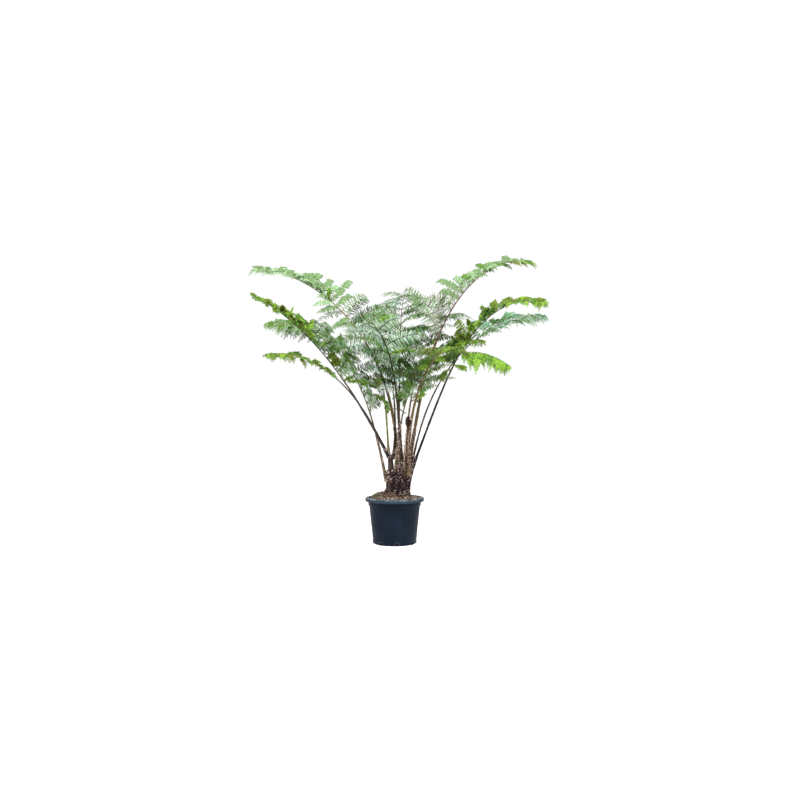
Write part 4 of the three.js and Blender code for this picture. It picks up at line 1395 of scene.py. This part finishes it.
def places_along(frond):
    """Lengths along the frond at which its pairs of pinnae sit."""
    places, s = [], frond["start"] + 8
    while s < frond["length"] - 16:
        places.append(s)
        t = (s - frond["start"]) / (frond["length"] - frond["start"])
        s += frond["step"] * (1 - 0.6 * t) * min(1, 0.30 + half_width(frond, t) / 220)
    return np.array(places)


def lay_pinnae(frond, luck):
    """Foot, straight part and bend of each pinna: u along it is foot + straight u + bend u u."""
    name, places = frond["name"], places_along(frond)
    s, row = np.repeat(places, 2), np.tile([1.0, -1.0], len(places))
    s = np.clip(s + row * 6 + luck.normal(0, 5, len(s)), frond["start"], frond["length"] - 14)
    t = np.clip((s - frond["start"]) / (frond["length"] - frond["start"]), 0, 1)
    keep = (luck.uniform(0, 1, len(s)) > 0.03) | (t > 0.8)
    s, t, row = s[keep], t[keep], row[keep]
    foot, ahead, side, up = follow(frond, s)

    lumps = 1 + 0.3 * np.sin(s / 27 + luck.uniform(0, 6)) * np.sin(s / 71 + luck.uniform(0, 6))
    chance = np.clip(luck.normal(1.0, 0.10, len(s)), 0.7, 1.2)
    half = (half_width(frond, t) * lumps * chance * MM)[:, None]
    lobe = luck.uniform(0, 1, len(s)) < LOBE_SHARES.get(name, 0)
    half = np.where(lobe[:, None], np.minimum(half, LOBE_HALF), half)

    far = np.where(side[:, 1] * row > 0, 1, -1)
    fold = (frond["fold"] * (1 - t ** 2) + frond["lift"] * t ** 2
            + frond["roll"] * far * (0.25 + 0.75 * t ** 2)
            - OPEN_FEET.get(name, 0) * (far < 0) * np.sqrt(np.clip(1 - t / 0.5, 0, 1))
            + luck.normal(0, 0.22, len(s)))
    lowest = -0.9 if frond["fold"] < 0 else -0.5
    fold = np.where(lobe, np.minimum(fold, LOBE_FOLD), np.maximum(fold, lowest))[:, None]
    forward = (0.28 * (1 - t) + 0.45 * t ** 3 + LEAN_ON.get(name, 0) * np.clip(1 - t / 0.25, 0, 1)
               + luck.normal(0, 0.12, len(s)))[:, None]
    sag = (0.10 + 0.25 * t + 0.20 * luck.uniform(0, 1, len(s)))[:, None]
    straight = half * (side * row[:, None] + up * fold * 1.25 + ahead * forward)
    bend = half * (-0.70 * np.maximum(fold, 0) * up - sag * np.array([0, 0, 1]) + ahead * 0.05)
    return {"foot": foot, "straight": straight, "bend": bend, "ahead": ahead, "up": up, "t": t,
            "half": half[:, 0], "fold": fold[:, 0], "near": far < 0, "lobe": lobe}


test = lay_pinnae(FRONDS["upper_right"], np.random.default_rng(1))
print("pinnae on one large frond:", len(test["t"]))
print("longest:", round(float(test["half"].max()), 3), "m")

# %% [markdown]
# A pinna gets a pair of leaflets every 8 to 17 mm, as the comb of its look says. They leave it at
# right angles, lean forward a little, curve and droop, and shrink towards its tip, where one last
# leaflet points straight on. The first helper sets them along the pinnae: v is the share of the
# pinna's length, hand is +1 or -1 for its two sides and 0 for the last leaflet.

# %% Set the leaflets along the pinnae
def set_leaflets(pinnae, gap, luck):
    """Which pinna, which place along it and which hand, for every leaflet of a frond."""
    reach = pinnae["half"] * np.minimum(1.7, np.sqrt(1 + pinnae["fold"] ** 2)) / MM
    count = np.maximum(3, (reach / (gap * np.minimum(1, 0.45 + reach / 160))).astype(int))
    which = np.repeat(np.arange(len(count)), count * 2 + 1)
    pairs = [np.repeat((np.arange(n) + 0.7) / (n + 0.4), 2) for n in count]
    v = np.concatenate([np.append(pair, 1.0) for pair in pairs])
    hand = np.concatenate([np.append(np.tile([1.0, -1.0], n), 0.0) for n in count])
    v = np.clip(v + hand * 0.012 + luck.normal(0, 0.006, len(v)), 0.02, 1.0)
    return which, v, hand


which, v, hand = set_leaflets(test, 15.0, np.random.default_rng(1))
print("leaflets on one large frond:", len(v))

# %% [markdown]
# The second helper gives each leaflet its shape: the way it points, its length and breadth, the
# way its upper face looks, and its curl. Broad leaflets lie calmer than fine ones.

# %% Shape the leaflets
def towards(way, aim):
    """Turn each direction round where it points away from its aim."""
    return way * np.sign(np.sum(way * aim, 1, keepdims=True) + 1e-9)


def shape_leaflets(pinnae, which, v, hand, broad, longest, luck):
    """The points of all leaflets, as (leaflets, points of one, 3)."""
    straight, bend = pinnae["straight"][which], pinnae["bend"][which]
    foot = pinnae["foot"][which] + straight * v[:, None] + bend * (v * v)[:, None]
    along = unit(straight + 2 * bend * v[:, None])
    face = towards(unit(np.cross(along, pinnae["ahead"][which])), pinnae["up"][which])
    across = towards(np.cross(face, along), pinnae["ahead"][which])

    lean = np.where(hand == 0, 8.0, 0.30 + 0.55 * v ** 3)[:, None]
    calm = np.where(broad > 0.28, 0.4, 1.0)[which][:, None]
    twist = luck.normal(0, 0.25, len(broad))[which][:, None] * calm
    lift = luck.normal(0.02, 0.12, (len(v), 1)) + twist * hand[:, None]
    way = unit(across * hand[:, None] + along * lean + face * lift
               + luck.normal(0, 0.09, foot.shape))

    full = np.minimum(longest * MM, 0.014 + 0.24 * pinnae["half"])[which]
    narrowing = (1 - 0.82 * v ** 2.3) * (0.6 + 0.4 * np.minimum(1, v / 0.2))
    length = np.maximum(full * narrowing * luck.normal(1, 0.09, len(v)), 0.010)
    length = np.where(hand == 0, full * 0.42, length)
    width = broad[which] * length + 0.0018

    roll = luck.normal(0, 0.32, (len(v), 1)) * calm
    tilt = unit(face + np.cross(way, face) * roll)
    tilt = unit(tilt - way * np.sum(tilt * way, 1, keepdims=True))
    wide = np.cross(tilt, way)
    curl = along * 0.16 - np.array([0, 0, 1]) * luck.uniform(0.10, 0.40, (len(v), 1))
    x, y, z = LEAF_SHAPE.T
    return (foot[:, None] + way[:, None] * (x * length[:, None])[..., None]
            + curl[:, None] * (x * x * length[:, None])[..., None]
            + wide[:, None] * (y * width[:, None])[..., None]
            + tilt[:, None] * (z * width[:, None] * 0.13)[..., None])


points = shape_leaflets(test, which, v, hand, np.full(len(test["t"]), 0.15), 56,
                        np.random.default_rng(1))
print("points on those leaflets:", points.shape)

# %% [markdown]
# The last helper deals the greens. The inner part of a blade has one look and the outer part has
# another, and they mix where one takes over. The leaflets of a pinna share their two greens, but
# a stray one here and there has a green of its own. Lobes are all fresh green, and on two fronds
# the near side of the tip hangs down in olive.

# %% Deal the greens and dress a frond
def deal(shares, count, luck):
    """Random greens, as numbers in the list of leaf materials."""
    weights = np.array(list(shares.values()), float)
    return luck.choice([LEAF_NAMES.index(label) for label in shares], count,
                       p=weights / weights.sum())


def deal_greens(frond, pinnae, outer, broad, which, luck):
    """The green of each leaflet's upper and lower face, as (leaflets, 2)."""
    looks, lobe = (LOOKS[frond["outer"]], LOOKS[frond["inner"]]), pinnae["lobe"]
    below = outer & pinnae["near"] & (pinnae["t"] > 0.6)
    tint = np.zeros((len(outer), 2), int)
    for layer in (0, 1):
        dealt = [deal(look[layer], len(outer), luck) for look in looks]
        tint[:, layer] = np.where(outer, *dealt)
    if frond["name"] in LOOK_BELOW:
        below_look = LOOKS[LOOK_BELOW[frond["name"]]]
        tint[below] = deal(below_look[0], len(outer), luck)[below, None]
    tint[lobe] = deal(LOBE_GREENS, len(outer), luck)[lobe, None]
    leaf_tint = tint[which]
    stray_share = np.where(lobe | below, 0, np.where(outer & (broad > 0.3), 0.12, 0.40))
    stray = luck.uniform(0, 1, len(which)) < stray_share[which]
    for layer in (0, 1):
        dealt = [deal(look[layer], len(which), luck) for look in looks]
        leaf_tint[stray, layer] = np.where(outer[which], *dealt)[stray]
    return leaf_tint


def dress(frond, pinnae, luck):
    """Points, triangles and the material of each triangle for all leaflets of a frond."""
    turn_at, turn_over = TURNS.get(frond["name"], (0.2, 0.4))
    turned_over = np.clip((pinnae["t"] - turn_at) / turn_over, 0, 1)
    outer = luck.uniform(0, 1, len(pinnae["t"])) < turned_over
    combs = zip(LOBE_COMB, COMBS[frond["outer"]], COMBS[frond["inner"]])
    gap, broad, longest = (np.where(pinnae["lobe"], lobe, np.where(outer, late, early))
                           for lobe, late, early in combs)
    which, v, hand = set_leaflets(pinnae, gap, luck)
    points = shape_leaflets(pinnae, which, v, hand, broad, longest, luck)
    faces = LEAF_FACES[None] + (np.arange(len(v)) * len(LEAF_SHAPE))[:, None, None]
    leaf_tint = deal_greens(frond, pinnae, outer, broad, which, luck)
    material = leaf_tint[np.arange(len(v))[:, None], LEAF_IS_LOWER[None]]
    return points, faces, material.ravel()


points, faces, material = dress(FRONDS["upper_right"], test, np.random.default_rng(1))
print("triangles on that frond:", faces.size // 3)

# %% [markdown]
# The rib goes on where the stem stopped and thins out to a millimetre at the tip. The stalks of
# the pinnae are swept tubes, as thin as wire. Rib and stalks are one piece, the leaflets are
# another, and both stand in for the frond's blade solids. A sprig has no solid of its own, so
# it only rides along.

# %% Ribs and stalks
RIB_SKIN = {
    "upper_right": "plum", "mid_right": "dark green", "mid_left": "dark green",
    "front_left": "dark green", "low_left": "olive green", "low_right": "dark purple",
    "front_right": "spotted brown", "back_left": "dark brown", "upper_left": "olive green",
    "back_right": "olive brown", "far_left": "olive brown", "back": "dark brown",
    "low_centre": "olive brown", "sprig_thin": "olive brown", "sprig_wilted": "olive brown",
}


def grow_rib(frond, pinnae):
    """The rib of a frond and the stalks of its pinnae, as one piece."""
    name, skin = frond["name"], SKINS[RIB_SKIN.get(frond["name"], "fresh green")]
    s = np.linspace(frond["start"], frond["length"], 64)
    t = (s - frond["start"]) / (frond["length"] - frond["start"])
    radii = 0.5 * frond["stem"] * MM * (1 - t) + 0.0012 * t
    rib = limb("rib_core_" + name, follow(frond, s)[0], radii, 3)
    u = np.linspace(0, 0.98, 8)
    v = u[None, :, None]
    paths = pinnae["foot"][:, None] + pinnae["straight"][:, None] * v + pinnae["bend"][:, None] * v * v
    stout = np.clip(pinnae["half"] * 0.012, 0.0007, 0.0031)[:, None] * (1 - 0.75 * u)[None]
    stalks = mesh_piece("stalks_" + name, *sweep_tubes(paths, stout, 4), [])
    return smooth(join_pieces([paint(rib, skin), paint(stalks, skin)], "ribs_" + name), 60)


print("fronds with a rib of their own colour:", len(RIB_SKIN))

# %% Grow every blade
leaf_total, blade_pieces = 0, []
for number, (name, frond) in enumerate(FRONDS.items()):
    luck = np.random.default_rng(100 + number)
    solids = [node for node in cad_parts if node.startswith("blade_" + name + "_")]
    pinnae = lay_pinnae(frond, luck)
    ribs = settle(grow_rib(frond, pinnae), solids)
    points, faces, material = dress(frond, pinnae, luck)
    used, slot_of = np.unique(material, return_inverse=True)
    leaflets = mesh_piece("leaflets_" + name, points, faces, [LEAVES[k] for k in used], slot_of)
    settle(leaflets, solids)
    leaf_total += triangles(leaflets)
    blade_pieces += [ribs, leaflets]
print("leaflet triangles:", leaf_total, "pieces:", len(blade_pieces))

# %% [markdown]
# ## The studio
# A plain pale floor and a pale surround light the plant from all sides, as a cloudy sky does: the
# surround is brighter overhead than at the sides. The Light Path node tells rays that come
# straight from the camera from all others, so floor and surround look plain white themselves,
# and still light the plant as soft greys.

# %% Floor and surround
bpy.ops.mesh.primitive_plane_add(size=60, location=(0, 0, -0.001))
floor = bpy.context.object
floor.name = "studio_floor"
paper, shader, add = new_material("white_paper", 0.9, 0.5)
glow = add("Math", {0: add("LightPath").outputs["Is Camera Ray"], 1: 0.5}, operation="MULTIPLY")
fill(shader, {"Base Color": (0.93, 0.93, 0.93, 1), "Emission Color": (1, 1, 1, 1),
              "Emission Strength": glow.outputs[0]})
paint(floor, paper)

world = bpy.data.worlds.new("studio")
bpy.context.scene.world = world
world.use_nodes = True
add = adder(world.node_tree)
upward = add("SeparateXYZ", {0: add("TexCoord").outputs["Generated"]}).outputs["Z"]
sky = add("MapRange", {"Value": upward, "From Min": -0.2, "From Max": 0.9, "To Min": 0.55,
                       "To Max": 1.15})
seen = add("Mix", {"Factor": add("LightPath").outputs["Is Camera Ray"], "A": sky.outputs[0],
                   "B": 1.02})
fill(world.node_tree.nodes["Background"], {"Color": (1.0, 1.0, 1.0, 1),
                                           "Strength": seen.outputs["Result"]})
print("floor and surround ready")

# %% [markdown]
# Two area lamps shape the plant. The key lamp is large and hangs high in front, slightly to the
# left, and gives the leaves their light side. A weaker one at the right fills the shadows. The
# camera stands level with the lower fronds and looks straight ahead.

# %% Lamps and camera
def lamp(name, place, size, power, tint):
    """A square soft lamp that looks at the middle of the plant."""
    bpy.ops.object.light_add(type="AREA", location=place)
    light = bpy.context.object
    light.name = name
    light.data.size, light.data.energy, light.data.color = size, power, tint
    aim = Vector((0, 0, 1.1)) - Vector(place)
    light.rotation_euler = aim.to_track_quat("-Z", "Y").to_euler()
    return light


lamp("key_light", (-1.2, -3.8, 6.0), 2.6, 620, (1.0, 0.985, 0.96))
lamp("fill_light", (4.2, -3.0, 3.0), 3.0, 150, (0.95, 0.98, 1.0))

bpy.ops.object.camera_add(location=(0.041, -6.4, 1.093), rotation=(math.pi / 2, 0, 0))
camera = bpy.context.object
camera.data.lens, camera.data.sensor_width = 37.65, 36.0
bpy.context.scene.camera = camera
bpy.context.scene.view_settings.view_transform = "Standard"
print("camera at", [round(v, 3) for v in camera.location])
